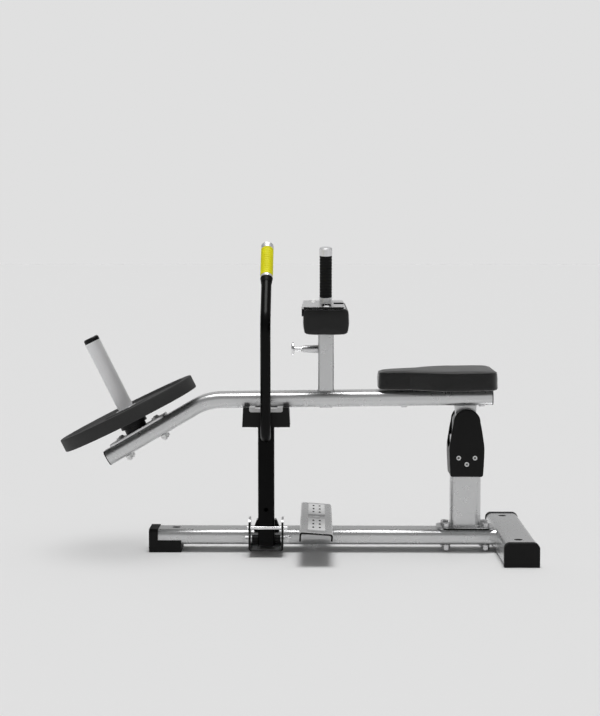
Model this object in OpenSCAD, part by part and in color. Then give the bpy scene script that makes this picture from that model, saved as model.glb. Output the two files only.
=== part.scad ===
// Plate-loaded seated calf raise machine: a floor frame, a pivoting lift arm that carries
// the seat, the thigh pads and the weight, and a hand lever that catches the arm.
// Units are millimetres. +Z is up, -X is the loaded end, the frame is centred on Y = 0.

/* [Tubes] */
// Width of the flat-oval beam tube
beam_w = 100; // [90:1:110]
// Height of the flat-oval beam tube
beam_h = 48; // [44:1:52]
// Corner radius of the flat-oval beam tube
beam_r = 19; // [12:1:20]
// Wall of the beam and post tubes
tube_wall = 3; // [2:0.5:4]

/* [Base] */
// Height of the base beam's underside above the floor
base_z = 23; // [20:1:30]
// Front end of the base beam
base_x0 = -448; // [-470:1:-430]
// Near edge of the rear cross foot
cross_x0 = 637; // [620:1:650]
// Width of the rear cross foot, along X
cross_w = 104; // [95:1:115]
// Length of the rear cross foot's tube, along Y
cross_len = 544; // [500:1:600]
// Top of the rear cross foot
cross_top = 73; // [68:1:80]
// Length of the front foot, along X
front_foot_len = 101; // [80:1:130]

/* [Rear post] */
// Centre of the rear post and of the arm's pivot, along X
pivot_x = 542; // [530:1:555]
// Height of the arm's pivot
pivot_z = 408; // [400:1:416]
// Width of the rear post, along X
post_w = 97; // [90:1:98]
// Depth of the rear post, along Y
post_d = 50; // [46:1:54]
// Length of the post's flange
flange_len = 180; // [170:1:190]
// Diameter of the pivot axle
axle_d = 25; // [20:1:28]
// Half the depth of the pivot's plastic cover
cover_y = 58; // [56:1:62]

/* [Lift arm] */
// Where the centrelines of the beam's two straight runs meet, along X
bend_x = -272; // [-280:1:-264]
// Height of that point
bend_z = 478; // [470:1:486]
// Slope of the long run, rising towards the pivot
beam_slope = 0.74; // [0:0.01:1.5]
// Slope of the short loaded run
arm_slope = 30.2; // [28:0.1:32]
// Radius of the bend at the centreline
bend_r = 170; // [150:1:190]
// Length of the short run, from the meeting point to its end
arm_len = 362; // [350:1:380]
// Length of the long run, from the meeting point to its end
run_len = 893; // [885:1:900]

/* [Weight sleeve] */
// Diameter of the weight sleeve
sleeve_d = 50; // [48:1:50]
// Lean of the weight sleeve from the vertical
sleeve_lean = 26.4; // [24:0.1:30]
// Distance of the sleeve's foot from the meeting point
sleeve_s = 243; // [235:1:250]
// Length of the sleeve above the arm
sleeve_len = 317; // [300:1:330]
// Diameter of the weight plate
plate_d = 458; // [440:1:460]
// Thickness of the weight plate
plate_t = 41; // [36:1:46]

/* [Thigh carriage] */
// Centre of the knee post, along X
knee_x = 101; // [96:1:106]
// Width of the square knee post
knee_w = 50; // [48:1:52]
// Top of the knee post
knee_top = 692; // [680:1:697]
// Side of the square inner tube
inner_w = 40; // [38:1:41]
// Spacing of the height holes
hole_pitch = 25; // [25:1:25]
// Height of the pull pin
pin_z = 638; // [634:1:642]
// Underside of the thigh pads' top plate
pad_top = 776; // [770:1:782]
// Thickness of the thigh pads
pad_t = 78; // [72:1:80]
// Half the length of the thigh pads' top plate, along Y
pad_y = 270; // [260:1:275]

/* [Catch lever] */
// Centre of the catch lever, along X
catch_x = -85; // [-90:1:-80]
// Lever pivot, along Y
lever_y = -82; // [-84:1:-80]
// Lever pivot, height
lever_z = 48; // [46:1:54]
// Width of the square lever post
lever_w = 50; // [48:1:50]
// Upright stretch of the handle, along Y
handle_y = -150; // [-155:1:-145]
// Diameter of the handle tube
handle_d = 32; // [30:1:34]
// Lean of the handle's top towards the middle of the machine
handle_lean = 43; // [40:1:45]

/* [Foot plate] */
// Left edge of the foot plate
foot_x0 = 21; // [18:1:26]
// Width of the foot plate, along X
foot_w = 101; // [96:1:104]
// Length of the foot plate, along Y
foot_len = 548; // [500:1:560]
// Tilt of the foot plate
foot_tilt = 4; // [2:0.5:6]

/* [Seat] */
// Front of the seat
seat_x0 = 264; // [258:1:270]
// Length of the seat
seat_len = 368; // [355:1:375]
// Width of the seat at the back
seat_w = 280; // [260:1:300]
// Width of the seat's nose
seat_nose_w = 104; // [96:1:180]
// Gap between the lift arm and the seat's underside
seat_gap = 4.5; // [3:0.5:8]
// Thickness of the seat's cushion and board together
seat_t = 61.5; // [58:0.5:68]

/* [Hidden] */
$fn = 48;
// Overshoot that lets a cut run past the face that it opens
cut = 1;
base_top = base_z + beam_h;
flange_t = 8;
flange_w = 112;
flange_bolt_x = 62;
flange_bolt_y = 30;
bolt_r = 8;
head_r = 11;
head_h = 9;
nut_af = 24;
nut_h = 13;
bend = arm_slope - beam_slope;
bend_t = bend_r * tan(bend / 2);
hub_r = 29;
hub_y = 24;
yoke_t = 10;
yoke_w = 80;
post_top = pivot_z - hub_r - 9;
bearing_r = 24;
bearing_t = 14;
cover_wall = 2;
cover_arc_r = 42;
cover_arc_z = pivot_z + 4;
cover_low_z = pivot_z - 167;
cover_wide_z = pivot_z - 74;
cover_low_w = 51;
cover_wide_w = 55;
slot_z = pivot_z - 72;
screw_spots = [[-26, -107], [25, -107], [-0.5, -127]];
screw_r = 4;
screw_head_r = 7;
hub_disc_r = 44;
hub_disc_h = 21;
sleeve_plate_t = 8;
sleeve_plate_len = 204;
sleeve_plate_w = 84;
plate_foot = 44;
plate_gap = 0.4;
plate_bore_r = sleeve_d / 2 + 0.4;
sleeve_foot_r = sleeve_d / 2 - 1;
sleeve_foot_len = 88;
core_r = 190;
core_t = 14;
cap_h = 14.5;
glide_t = 1.7;
inner_wall = 3;
carriage_low = bend_z + 2;
pin_r = 5;
pin_hole_r = 5.4;
pin_tip_x = knee_x - inner_w / 2 + 7;
barrel_r = 12.5;
barrel_len = 52;
knob_r = 22.5;
pad_plate_t = 6;
pad_x0 = knee_x - 70;
pad_w = 137.2;
pad_plate_w = 129;
pad_gap = 28;
pad_len = pad_y - pad_gap - 4;
pad_bolt_y = [-254, 60, 150, 245];
pad_bolt_r = 4;
grip_y = 200;
grip_lean = 10;
grip_len = 137.5;
grip_r = 20;
grip_core_r = 16;
grip_cap_len = 26;
grip_foot = 14;
wall_t = 6;
bracket_in = 48;
bracket_top = 117;
bracket_base_t = 4;
bracket_y1 = 28;
rod_y = -122;
rod_z = 91;
rod_r = 5.4;
axle_r = 8;
bush_r = 11;
lever_toe = 16;
saddle_w = 148;
saddle_z0 = 403;
saddle_top = 464;
// The saddle's near lip stops short of the beam, so it may stand higher than the rest
saddle_lip_y = -56;
saddle_y0 = -106;
saddle_y1 = -12;
// Radius about the lever's pivot at which the saddle just slides under the lift arm
saddle_reach = 410.5;
liner_w = 104;
liner_z = 449.5;
liner_slot_z = 460;
handle_foot_z = 372;
handle_foot_r = 40;
handle_bend_z = 700;
handle_bend_r = 80;
handle_wall = 2.5;
hand_r = 19.8;
hand_len = 112;
hand_cap_len = 19;
hand_collar_len = 9;
hand_flare_len = 20;
lean_len = 285.5;
foot_t = 6;
foot_lip = 32;
foot_low_z = 77;
foot_z = 103;
foot_bolt_r = 6.3;
tread_w = 53;
tread_len = 200;
tread_t = 3;
tread_y = 138;
dimple_pitch = 60;
dimple_r = 4;
anchor_y = 212;
anchor_x = 685;
anchor_r = 7;
access_r = 13;
front_anchor_x = -373;
board_t = 12;
seat_bolt_x = [347, 592];
seat_bolt_r = 5;

// ---------- shapes that repeat ----------

// Outline with round corners, centred on the origin
module round_rect(w, h, r) {
    square([w - 2 * r, h], center = true);
    square([w, h - 2 * r], center = true);
    for (x = [-1, 1], y = [-1, 1])
        translate([x * (w / 2 - r), y * (h / 2 - r)])
            circle(r = r);
}

// Flat-oval tube outline: first axis is the wide one
module tube_outline(w, h, r, wall) {
    difference() {
        round_rect(w, h, r);
        round_rect(w - 2 * wall, h - 2 * wall, r - wall);
    }
}

// Extrudes an outline along +X; the outline's x runs along Y and its y along Z
module along_x(len) {
    rotate([90, 0, 90])
        linear_extrude(len)
            children();
}

// Extrudes an outline along +Y, from -len / 2 to len / 2; its x runs along X, its y along Z
module along_y(len) {
    translate([0, len / 2, 0])
        rotate([90, 0, 0])
            linear_extrude(len)
                children();
}

// Round bar along Y, centred
module bar_y(r, len) {
    rotate([90, 0, 0])
        cylinder(r = r, h = len, center = true);
}

// Round bar along +X from its start
module bar_x(r, len) {
    rotate([0, 90, 0])
        cylinder(r = r, h = len);
}

// Hexagon prism standing on the origin, by its width across flats
module hex(af, h) {
    cylinder(d = af / cos(30), h = h, $fn = 6);
}

// Button-head screw pointing down, its head standing on the origin
module button_screw(r, len, hr, hh) {
    difference() {
        union() {
            cylinder(r = hr, h = hh * 0.5);
            translate([0, 0, hh * 0.5])
                cylinder(r1 = hr, r2 = hr * 0.7, h = hh * 0.5);
            translate([0, 0, -len])
                cylinder(r = r, h = len);
        }
        translate([0, 0, hh * 0.4])
            hex(hr * 0.75, hh);
    }
}

// ---------- frames of reference on the lift arm ----------

// Long run: x along the beam, z square to it, origin where the centrelines meet
module on_run() {
    translate([bend_x, 0, bend_z])
        rotate([0, -beam_slope, 0])
            children();
}

// Short loaded run, from the same origin; the run itself lies on negative x
module on_arm() {
    translate([bend_x, 0, bend_z])
        rotate([0, -arm_slope, 0])
            children();
}

// Weight sleeve: z along the sleeve, origin on the arm's top face
module on_sleeve() {
    translate([
        bend_x - sleeve_s * cos(arm_slope) - beam_h / 2 * sin(arm_slope), 0,
        bend_z - sleeve_s * sin(arm_slope) + beam_h / 2 * cos(arm_slope)
    ])
        rotate([0, -sleeve_lean, 0])
            children();
}

// Foot plate: origin at the middle of its top face
module on_foot_plate() {
    translate([foot_x0 + foot_w / 2, 0, foot_z])
        rotate([0, foot_tilt, 0])
            children();
}

// Hand grip on the thigh pads' plate: z along the grip
module on_grip() {
    translate([knee_x, grip_y, pad_top + pad_plate_t])
        rotate([grip_lean, 0, 0])
            children();
}

// Leaning top of the catch lever's handle: z along the tube, origin where it turns straight
module on_handle_top() {
    translate([
        catch_x, handle_y + handle_bend_r * (1 - cos(handle_lean)),
        handle_bend_z + handle_bend_r * sin(handle_lean)
    ])
        rotate([-handle_lean, 0, 0])
            children();
}

// Spots of the four flange bolts
module flange_spots() {
    for (x = [-1, 1], y = [-1, 1])
        translate([pivot_x + x * flange_bolt_x, y * flange_bolt_y, 0])
            children();
}

// Spots of the four bolts that hold the sleeve's plate to the arm
module sleeve_plate_spots() {
    for (x = [-1, 1], y = [-1, 1])
        on_arm()
            translate([-sleeve_s + 5 + x * 64, y * 28, 0])
                children();
}

// Spots of the seat's bolts, square to the beam
module seat_bolt_spots() {
    for (x = seat_bolt_x)
        on_run()
            translate([x - bend_x, 0, 0])
                children();
}

// Spots of the cover's screws on one side: -1 is the near side, 1 the far side
module cover_spots(side) {
    for (p = screw_spots)
        translate([pivot_x + p[0], side * cover_y, pivot_z + p[1]])
            rotate([-90 * side, 0, 0])
                children();
}

// ---------- floor frame ----------

module base_beam() {
    color("#b4b4b4")
        difference() {
            translate([base_x0 + 2, 0, base_z + beam_h / 2])
                along_x(cross_x0 - base_x0 - 2)
                    tube_outline(beam_w, beam_h, beam_r, tube_wall);
            flange_spots()
                cylinder(r = bolt_r + 0.3, h = base_top + cut);
            translate([front_anchor_x, 0, base_top - 2 * tube_wall])
                cylinder(r = access_r, h = 3 * tube_wall);
            translate([front_anchor_x, 0, base_z - cut])
                cylinder(r = anchor_r, h = 2 * tube_wall);
            on_foot_plate()
                translate([0, 0, -foot_z])
                    cylinder(r = foot_bolt_r + 0.1, h = foot_z);
        }
}

// Rubber foot that wraps the front end of the base beam
module front_foot() {
    color("#1c1c1c")
        difference() {
            translate([base_x0 - 8, 0, 0])
                union() {
                    translate([0, 0, (base_top + 2) / 2])
                        along_x(28)
                            round_rect(beam_w + 8, base_top + 2, 12);
                    translate([0, 0, (base_z + 14) / 2])
                        along_x(front_foot_len)
                            round_rect(beam_w + 8, base_z + 14, 4);
                }
            translate([base_x0 + 2, 0, base_z + beam_h / 2])
                along_x(front_foot_len)
                    round_rect(beam_w, beam_h, beam_r);
            translate([front_anchor_x, 0, -cut])
                cylinder(r = anchor_r + 2, h = base_z + 2 * cut);
        }
}

// Outline of the rear cross foot: flat underside, round top corners
module cross_outline(grow, low) {
    half = cross_w / 2 + grow;
    top = cross_top + grow;
    translate([0, low + (top - low) / 2])
        round_rect(2 * half, top - low, 18);
    translate([-half, low])
        square([2 * half, (top - low) / 2]);
}

module rear_cross_foot() {
    color("#b4b4b4")
        translate([cross_x0 + cross_w / 2, 0, 0])
            difference() {
                along_y(cross_len)
                    difference() {
                        cross_outline(0, 6);
                        translate([0, cross_top / 2 + 3])
                            round_rect(cross_w - 2 * tube_wall, cross_top - 6 - 2 * tube_wall, 15);
                    }
                for (y = [-1, 1])
                    translate([anchor_x - cross_x0 - cross_w / 2, y * anchor_y, 0]) {
                        cylinder(r = anchor_r, h = cross_top / 2);
                        translate([0, 0, cross_top / 2])
                            cylinder(r = access_r, h = cross_top);
                    }
            }
}

// Rubber end cap and foot of the cross foot; side is -1 near, 1 far
module cross_foot_cap(side) {
    color("#202020")
        translate([cross_x0 + cross_w / 2, side * cross_len / 2, 0])
            difference() {
                translate([0, side * -3, 0])
                    along_y(20)
                        cross_outline(1.5, 0);
                translate([0, side * -10, 0])
                    along_y(20)
                        cross_outline(0, 6);
            }
}

module cross_foot_cap_left() {
    cross_foot_cap(-1);
}

module cross_foot_cap_right() {
    cross_foot_cap(1);
}

module post_flange() {
    color("#b0b0b0")
        difference() {
            translate([pivot_x, 0, base_top])
                linear_extrude(flange_t)
                    round_rect(flange_len, flange_w, 34);
            flange_spots()
                cylinder(r = bolt_r + 0.3, h = base_top + 2 * flange_t);
        }
}

module rear_post() {
    color("#a8a8a8")
        difference() {
            translate([pivot_x, 0, base_top + flange_t])
                linear_extrude(post_top - base_top - flange_t)
                    tube_outline(post_w, post_d, 19, tube_wall);
            cover_spots(-1)
                translate([0, 0, -cover_y])
                    cylinder(r = screw_r + 0.05, h = cover_y);
            cover_spots(1)
                translate([0, 0, -cover_y])
                    cylinder(r = screw_r + 0.05, h = cover_y);
        }
}

module flange_bolts() {
    color("#d8d8d8")
        flange_spots() {
            translate([0, 0, 5.5])
                cylinder(r = bolt_r, h = base_top + flange_t - 5.5);
            translate([0, 0, base_top + flange_t])
                cylinder(r = head_r + 3, h = 2.5);
            translate([0, 0, base_top + flange_t + 2.5])
                difference() {
                    hex(2 * head_r, head_h);
                    translate([0, 0, head_h - 1.5])
                        cylinder(r = 4.5, h = 2);
                }
        }
}

module flange_nuts() {
    color("#c8c8c8")
        flange_spots()
            translate([0, 0, base_z])
                difference() {
                    union() {
                        translate([0, 0, -2])
                            cylinder(r = head_r + 3, h = 2);
                        translate([0, 0, -2 - nut_h])
                            hex(nut_af, nut_h);
                    }
                    translate([0, 0, -3 * nut_h])
                        cylinder(r = bolt_r, h = 4 * nut_h);
                }
}

// Two plates welded to the rear post's flat sides, which hold the pivot axle
module pivot_yoke() {
    color("#a0a0a0")
        for (side = [-1, 1])
            difference() {
                translate([pivot_x, side * (post_d / 2 + yoke_t / 2), 0])
                    along_y(yoke_t) {
                        translate([-yoke_w / 2, pivot_z - 88])
                            square([yoke_w, 88]);
                        translate([0, pivot_z])
                            circle(r = yoke_w / 2);
                    }
                translate([pivot_x, 0, pivot_z])
                    bar_y(axle_d / 2, 4 * cover_y);
            }
}

module pivot_axle() {
    color("#cfcfcf")
        translate([pivot_x, 0, pivot_z])
            difference() {
                bar_y(axle_d / 2, post_d + 2 * yoke_t);
                for (side = [-1, 1])
                    translate([0, side * (post_d / 2 + yoke_t), 0])
                        bar_y(5, 40);
            }
}

// Washer and screw at each end of the pivot axle
module axle_retainers() {
    color("#c0c0c0")
        for (side = [-1, 1])
            translate([pivot_x, side * (post_d / 2 + yoke_t), pivot_z])
                rotate([-90 * side, 0, 0]) {
                    cylinder(r = 18, h = 4);
                    translate([0, 0, 4])
                        hex(17, 7);
                    translate([0, 0, -18])
                        cylinder(r = 5, h = 18);
                }
}

// The cover's half width and height between its round top, at share 0, and its widest level
function cover_half(share) = cover_arc_r + (cover_wide_w - cover_arc_r) * pow(share, 0.85);
function cover_level(share) = cover_arc_z - pivot_z - share * (cover_arc_z - cover_wide_z);

// Outline of the pivot cover, in X and Z about the pivot
module cover_outline(inset) {
    translate([0, cover_arc_z - pivot_z])
        circle(r = cover_arc_r - inset);
    polygon([
        [-cover_low_w + inset, cover_low_z - pivot_z + inset],
        [cover_low_w - inset, cover_low_z - pivot_z + inset],
        for (share = [1:-0.125:0]) [cover_half(share) - inset, cover_level(share)],
        for (share = [0:0.125:1]) [inset - cover_half(share), cover_level(share)]
    ]);
}

// One half of the plastic cover: a face, a low skirt around it and screw bosses behind it
module pivot_cover(side) {
    rim = 9;
    color("#1e1e1e")
        difference() {
            union() {
                difference() {
                    translate([pivot_x, side * cover_y / 2, pivot_z])
                        along_y(cover_y)
                            cover_outline(0);
                    translate([pivot_x, side * (cover_y - cover_wall) / 2, pivot_z])
                        along_y(cover_y - cover_wall)
                            cover_outline(cover_wall);
                    translate([0, side * (cover_y - rim) / 2, slot_z + cover_y * 2])
                        cube([4 * pivot_x, cover_y - rim, 4 * cover_y], center = true);
                    translate([pivot_x, 0, cover_low_z])
                        cube([post_w + 0.4, post_d + 0.4, 4 * cover_wall], center = true);
                }
                cover_spots(side)
                    translate([0, 0, post_d / 2 - cover_y])
                        cylinder(r = 9, h = cover_y - post_d / 2);
            }
            cover_spots(side)
                translate([0, 0, -cover_y])
                    cylinder(r = screw_r + 0.05, h = 2 * cover_y);
            cover_spots(side)
                translate([0, 0, -3])
                    cylinder(r = screw_head_r + 0.1, h = 4);
        }
}

module pivot_cover_near() {
    pivot_cover(-1);
}

module pivot_cover_far() {
    pivot_cover(1);
}

module cover_screws() {
    color("#d0d0d0")
        for (side = [-1, 1])
            cover_spots(side)
                difference() {
                    union() {
                        translate([0, 0, -3])
                            cylinder(r = screw_head_r, h = 3);
                        translate([0, 0, -cover_y + post_d / 2 - 8])
                            cylinder(r = screw_r, h = cover_y - post_d / 2 + 8);
                    }
                    translate([0, 0, -3])
                        hex(7, 4);
                }
}

// ---------- foot plate ----------

// Folded plate that the feet stand on
module foot_plate() {
    color("#9a9a9a")
        on_foot_plate()
            difference() {
                along_y(foot_len)
                    translate([0, -foot_lip])
                        difference() {
                            union() {
                                translate([0, foot_lip / 2])
                                    round_rect(foot_w, foot_lip, 8);
                                translate([-foot_w / 2, 0])
                                    square([foot_w, foot_lip / 2]);
                            }
                            translate([0, foot_lip / 2 - foot_t])
                                round_rect(foot_w - 2 * foot_t, foot_lip, 4);
                            translate([-foot_w / 2 + foot_t, -cut])
                                square([foot_w - 2 * foot_t, foot_lip / 2]);
                        }
                cylinder(r = foot_bolt_r + 0.1, h = 40, center = true);
                rotate([0, -foot_tilt, 0])
                    translate([0, 0, foot_low_z - foot_z - foot_w / 2])
                        cube([2 * foot_w, 2 * foot_len, foot_w], center = true);
            }
}

// Steel block that sets the plate's tilt on the base beam
module foot_plate_wedge() {
    color("#8c8c8c")
        difference() {
            translate([foot_x0 + foot_w / 2, 0, 0])
                linear_extrude(foot_z)
                    square([64, 70], center = true);
            on_foot_plate()
                translate([-200, -200, -foot_t])
                    cube([400, 400, 100]);
            translate([0, 0, -cut])
                linear_extrude(base_top + cut)
                    square([600, 600], center = true);
            on_foot_plate()
                cylinder(r = foot_bolt_r + 0.1, h = 2 * foot_z, center = true);
        }
}

// Light inserts with dimples for grip
module tread_inserts() {
    color("#d7d7d7")
        on_foot_plate()
            for (side = [-1, 1])
                translate([0, side * tread_y, 0])
                    difference() {
                        linear_extrude(tread_t)
                            round_rect(tread_w, tread_len, 4);
                        for (x = [-10, 10], row = [-1, 0, 1])
                            translate([x, row * dimple_pitch, tread_t - 1.5])
                                cylinder(r = dimple_r, h = tread_t);
                    }
}

// Bolt through the plate, the wedge and the beam, with its nut
module foot_plate_bolt() {
    color("#cdcdcd")
        on_foot_plate() {
            difference() {
                union() {
                    cylinder(r1 = 12, r2 = 10, h = 3);
                    translate([0, 0, 3 - foot_z])
                        cylinder(r = foot_bolt_r, h = foot_z - 3);
                    translate([0, 0, base_z - foot_z - nut_h + 1])
                        hex(19, nut_h - 2);
                }
                translate([0, 0, 1])
                    hex(8, 6);
            }
        }
}

// ---------- catch bracket ----------

// Section of the bracket: a U with round lower corners, open at the top
module bracket_section() {
    low = base_z - bracket_base_t;
    tall = 2 * (bracket_top - low);
    difference() {
        translate([0, low + tall / 2])
            round_rect(2 * (bracket_in + wall_t), tall, 9);
        translate([0, base_z + tall / 2])
            round_rect(2 * bracket_in, tall, 4);
    }
}

// Bent bracket beside the base beam that carries the catch lever
module catch_bracket() {
    low = base_z - bracket_base_t;
    y0 = -132;
    color("#b8b8b8")
        difference() {
            intersection() {
                translate([catch_x, (y0 + bracket_y1) / 2, 0])
                    along_y(bracket_y1 - y0)
                        bracket_section();
                translate([catch_x - bracket_in - wall_t - cut, 0, 0])
                    along_x(2 * (bracket_in + wall_t + cut))
                        polygon([
                            [y0, low - cut], [bracket_y1, low - cut], [bracket_y1, base_z],
                            [-50, base_z], [-50, base_top], [-58, bracket_top - 14],
                            [-66, bracket_top], [-126, bracket_top], [y0, bracket_top - 6]
                        ]);
            }
            translate([catch_x - 100, lever_y, lever_z])
                bar_x(axle_r, 200);
            translate([catch_x - 100, rod_y, rod_z])
                bar_x(rod_r, 200);
        }
}

module catch_axle() {
    color("#d4d4d4")
        translate([catch_x - bracket_in - wall_t, lever_y, lever_z]) {
            bar_x(axle_r, 2 * (bracket_in + wall_t) + 22);
            translate([-11, 0, 0])
                bar_x(12.5, 11);
        }
}

module catch_axle_nut() {
    color("#dcdcdc")
        translate([catch_x + bracket_in + wall_t, lever_y, lever_z])
            difference() {
                union() {
                    bar_x(13.5, 3);
                    translate([3, 0, 0])
                        rotate([0, 90, 0])
                            hex(nut_af - 1, 15);
                }
                translate([-cut, 0, 0])
                    bar_x(axle_r, 30);
            }
}

// Spacer washers between the bracket's walls and the lever's bushes
module catch_washers() {
    color("#e0e0e0")
        for (side = [-1, 1])
            translate([catch_x + side * (bracket_in - 1.5) - 1.5, lever_y, lever_z])
                difference() {
                    bar_x(16, 3);
                    translate([-cut, 0, 0])
                        bar_x(axle_r, 6);
                }
}

module catch_stop_rod() {
    color("#ececec")
        translate([catch_x - bracket_in - wall_t - 5, rod_y, rod_z])
            bar_x(rod_r, 2 * (bracket_in + wall_t) + 18);
}

// Rubber stop behind the lever's post, on the side of the base beam
module catch_bumper() {
    color("#181818")
        difference() {
            translate([catch_x, -41, 0])
                along_y(26)
                    polygon([
                        [-40, base_top], [40, base_top], [38, base_top + 14],
                        [31, base_top + 32], [-31, base_top + 32], [-38, base_top + 14]
                    ]);
            for (side = [-1, 1])
                translate([catch_x + side * 26, -41, base_top + 16])
                    cylinder(r = 3, h = 30);
        }
}

module bumper_screws() {
    color("#c4c4c4")
        for (side = [-1, 1])
            translate([catch_x + side * 26, -41, base_top + 32])
                button_screw(3, 14, 6, 4);
}

// ---------- lift arm ----------

// The bent flat-oval beam, in one piece
module lift_beam() {
    color("#b2b2b2")
        difference() {
            union() {
                on_run()
                    translate([bend_t, 0, 0])
                        along_x(run_len - bend_t)
                            tube_outline(beam_w, beam_h, beam_r, tube_wall);
                on_run()
                    translate([bend_t, 0, -bend_r])
                        rotate([90, 0, 0])
                            rotate([0, 0, 90])
                                rotate_extrude(angle = bend, $fn = 96)
                                    translate([bend_r, 0])
                                        rotate([0, 0, 90])
                                            tube_outline(beam_w, beam_h, beam_r, tube_wall);
                on_arm()
                    translate([-arm_len, 0, 0])
                        along_x(arm_len - bend_t)
                            tube_outline(beam_w, beam_h, beam_r, tube_wall);
            }
            sleeve_plate_spots()
                cylinder(r = bolt_r - 1.8, h = 2 * beam_h, center = true);
            translate([knee_x, 0, bend_z + beam_h])
                cube([inner_w + 2, inner_w + 2, 2 * beam_h - 20], center = true);
            seat_bolt_spots()
                cylinder(r = seat_bolt_r + 0.1, h = 4 * beam_h, center = true);
        }
}

// Plastic plugs in the beam's two ends
module beam_end_caps() {
    color("#232323") {
        on_run()
            translate([run_len, 0, 0]) {
                along_x(3)
                    round_rect(beam_w, beam_h, beam_r);
                translate([-14, 0, 0])
                    along_x(14)
                        tube_outline(beam_w - 2 * tube_wall, beam_h - 2 * tube_wall, beam_r - tube_wall, 3);
            }
        on_arm()
            translate([-arm_len - 3, 0, 0]) {
                along_x(3)
                    round_rect(beam_w, beam_h, beam_r);
                translate([3, 0, 0])
                    along_x(14)
                        tube_outline(beam_w - 2 * tube_wall, beam_h - 2 * tube_wall, beam_r - tube_wall, 3);
            }
    }
}

// Bearing tube and its neck, welded under the beam
module pivot_hub() {
    color("#989898")
        difference() {
            union() {
                translate([pivot_x, 0, pivot_z])
                    bar_y(hub_r, 2 * hub_y);
                translate([pivot_x, 0, pivot_z])
                    along_y(2 * hub_y)
                        polygon([[-hub_r, 0], [hub_r, 0], [33, 90], [-40, 90]]);
            }
            on_run()
                translate([0, -beam_w, -beam_h / 2])
                    cube([2 * run_len, 2 * beam_w, 200]);
            translate([pivot_x, 0, pivot_z])
                bar_y(bearing_r - 5, 4 * hub_y);
            for (side = [-1, 1])
                translate([pivot_x, side * (hub_y - bearing_t / 2), pivot_z])
                    bar_y(bearing_r, bearing_t);
        }
}

// Sealed bearings in each end of the hub
module pivot_bearings() {
    color("#d2d2d2")
        for (side = [-1, 1])
            translate([pivot_x, side * (hub_y - bearing_t / 2), pivot_z])
                difference() {
                    bar_y(bearing_r, bearing_t);
                    bar_y(axle_d / 2 + 0.03, 2 * bearing_t);
                    translate([0, side * bearing_t / 2, 0])
                        difference() {
                            bar_y(bearing_r - 3, 2);
                            bar_y(axle_d / 2 + 3, 4);
                        }
                }
}

module sleeve_plate() {
    color("#b6b6b6")
        difference() {
            on_arm()
                translate([-sleeve_s + 5, 0, beam_h / 2])
                    linear_extrude(sleeve_plate_t)
                        round_rect(sleeve_plate_len, sleeve_plate_w, 22);
            sleeve_plate_spots()
                cylinder(r = bolt_r - 1.8, h = 2 * beam_h, center = true);
            on_sleeve()
                translate([0, 0, -5])
                    cylinder(r = sleeve_foot_r, h = 60);
        }
}

// Bolts through the sleeve's plate and the arm, with nuts underneath
module sleeve_plate_bolts() {
    color("#d0d0d0")
        sleeve_plate_spots() {
            translate([0, 0, -beam_h / 2 - nut_h - 4])
                cylinder(r = bolt_r - 2, h = beam_h + nut_h + 4 + sleeve_plate_t);
            translate([0, 0, beam_h / 2 + sleeve_plate_t])
                cylinder(r = head_r, h = 2);
            translate([0, 0, beam_h / 2 + sleeve_plate_t + 2])
                difference() {
                    cylinder(r1 = 9, r2 = 7, h = 5);
                    translate([0, 0, 2])
                        hex(7, 6);
                }
            translate([0, 0, -beam_h / 2 - 2])
                difference() {
                    cylinder(r = head_r, h = 2);
                    translate([0, 0, -cut])
                        cylinder(r = bolt_r - 2, h = 2 * nut_h);
                }
            translate([0, 0, -beam_h / 2 - nut_h])
                difference() {
                    hex(18, nut_h - 2);
                    translate([0, 0, -cut])
                        cylinder(r = bolt_r - 2, h = 2 * nut_h);
                }
        }
}

// Tube that the plates slide on; its foot is a little slimmer where the welded hub grips it
module weight_sleeve() {
    color("#dcdcdc")
        difference() {
            on_sleeve()
                difference() {
                    union() {
                        translate([0, 0, -4])
                            cylinder(r = sleeve_foot_r, h = sleeve_foot_len + 4);
                        translate([0, 0, sleeve_foot_len])
                            cylinder(r = sleeve_d / 2, h = sleeve_len - sleeve_foot_len);
                    }
                    translate([0, 0, -cut - 10])
                        cylinder(r = sleeve_d / 2 - 4, h = sleeve_len + 20);
                }
            on_arm()
                translate([-2 * arm_len, -100, beam_h / 2 - 200])
                    cube([2 * arm_len, 200, 200]);
        }
}

module sleeve_cap() {
    color("#161616")
        on_sleeve() {
            translate([0, 0, sleeve_len - 15])
                cylinder(r = sleeve_d / 2 - 4, h = 15);
            translate([0, 0, sleeve_len])
                cylinder(r = sleeve_d / 2 - 0.4, h = cap_h - 4);
            translate([0, 0, sleeve_len + cap_h - 4])
                cylinder(r1 = sleeve_d / 2 - 0.4, r2 = sleeve_d / 2 - 4, h = 4);
        }
}

// Disc around the sleeve's foot that the plates rest on
module sleeve_hub() {
    color("#1a1a1a")
        difference() {
            on_sleeve()
                difference() {
                    union() {
                        cylinder(r = hub_disc_r - 8, h = plate_foot - hub_disc_h);
                        translate([0, 0, plate_foot - hub_disc_h])
                            cylinder(r = hub_disc_r, h = hub_disc_h);
                    }
                    translate([0, 0, -40])
                        cylinder(r = sleeve_foot_r, h = 120);
                }
            on_arm()
                translate([-2 * arm_len, -100, beam_h / 2 + sleeve_plate_t - 200])
                    cube([2 * arm_len, 200, 200]);
        }
}

// Square tube that the thigh carriage slides in
module knee_post() {
    color("#a4a4a4")
        difference() {
            translate([knee_x, 0, bend_z])
                linear_extrude(knee_top - bend_z)
                    tube_outline(knee_w, knee_w, 8, tube_wall);
            on_run()
                translate([0, -beam_w, beam_h / 2 - 200])
                    cube([run_len, 2 * beam_w, 200]);
            translate([knee_x - knee_w, 0, pin_z])
                bar_x(pin_r + 0.4, knee_w);
        }
}

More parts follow.
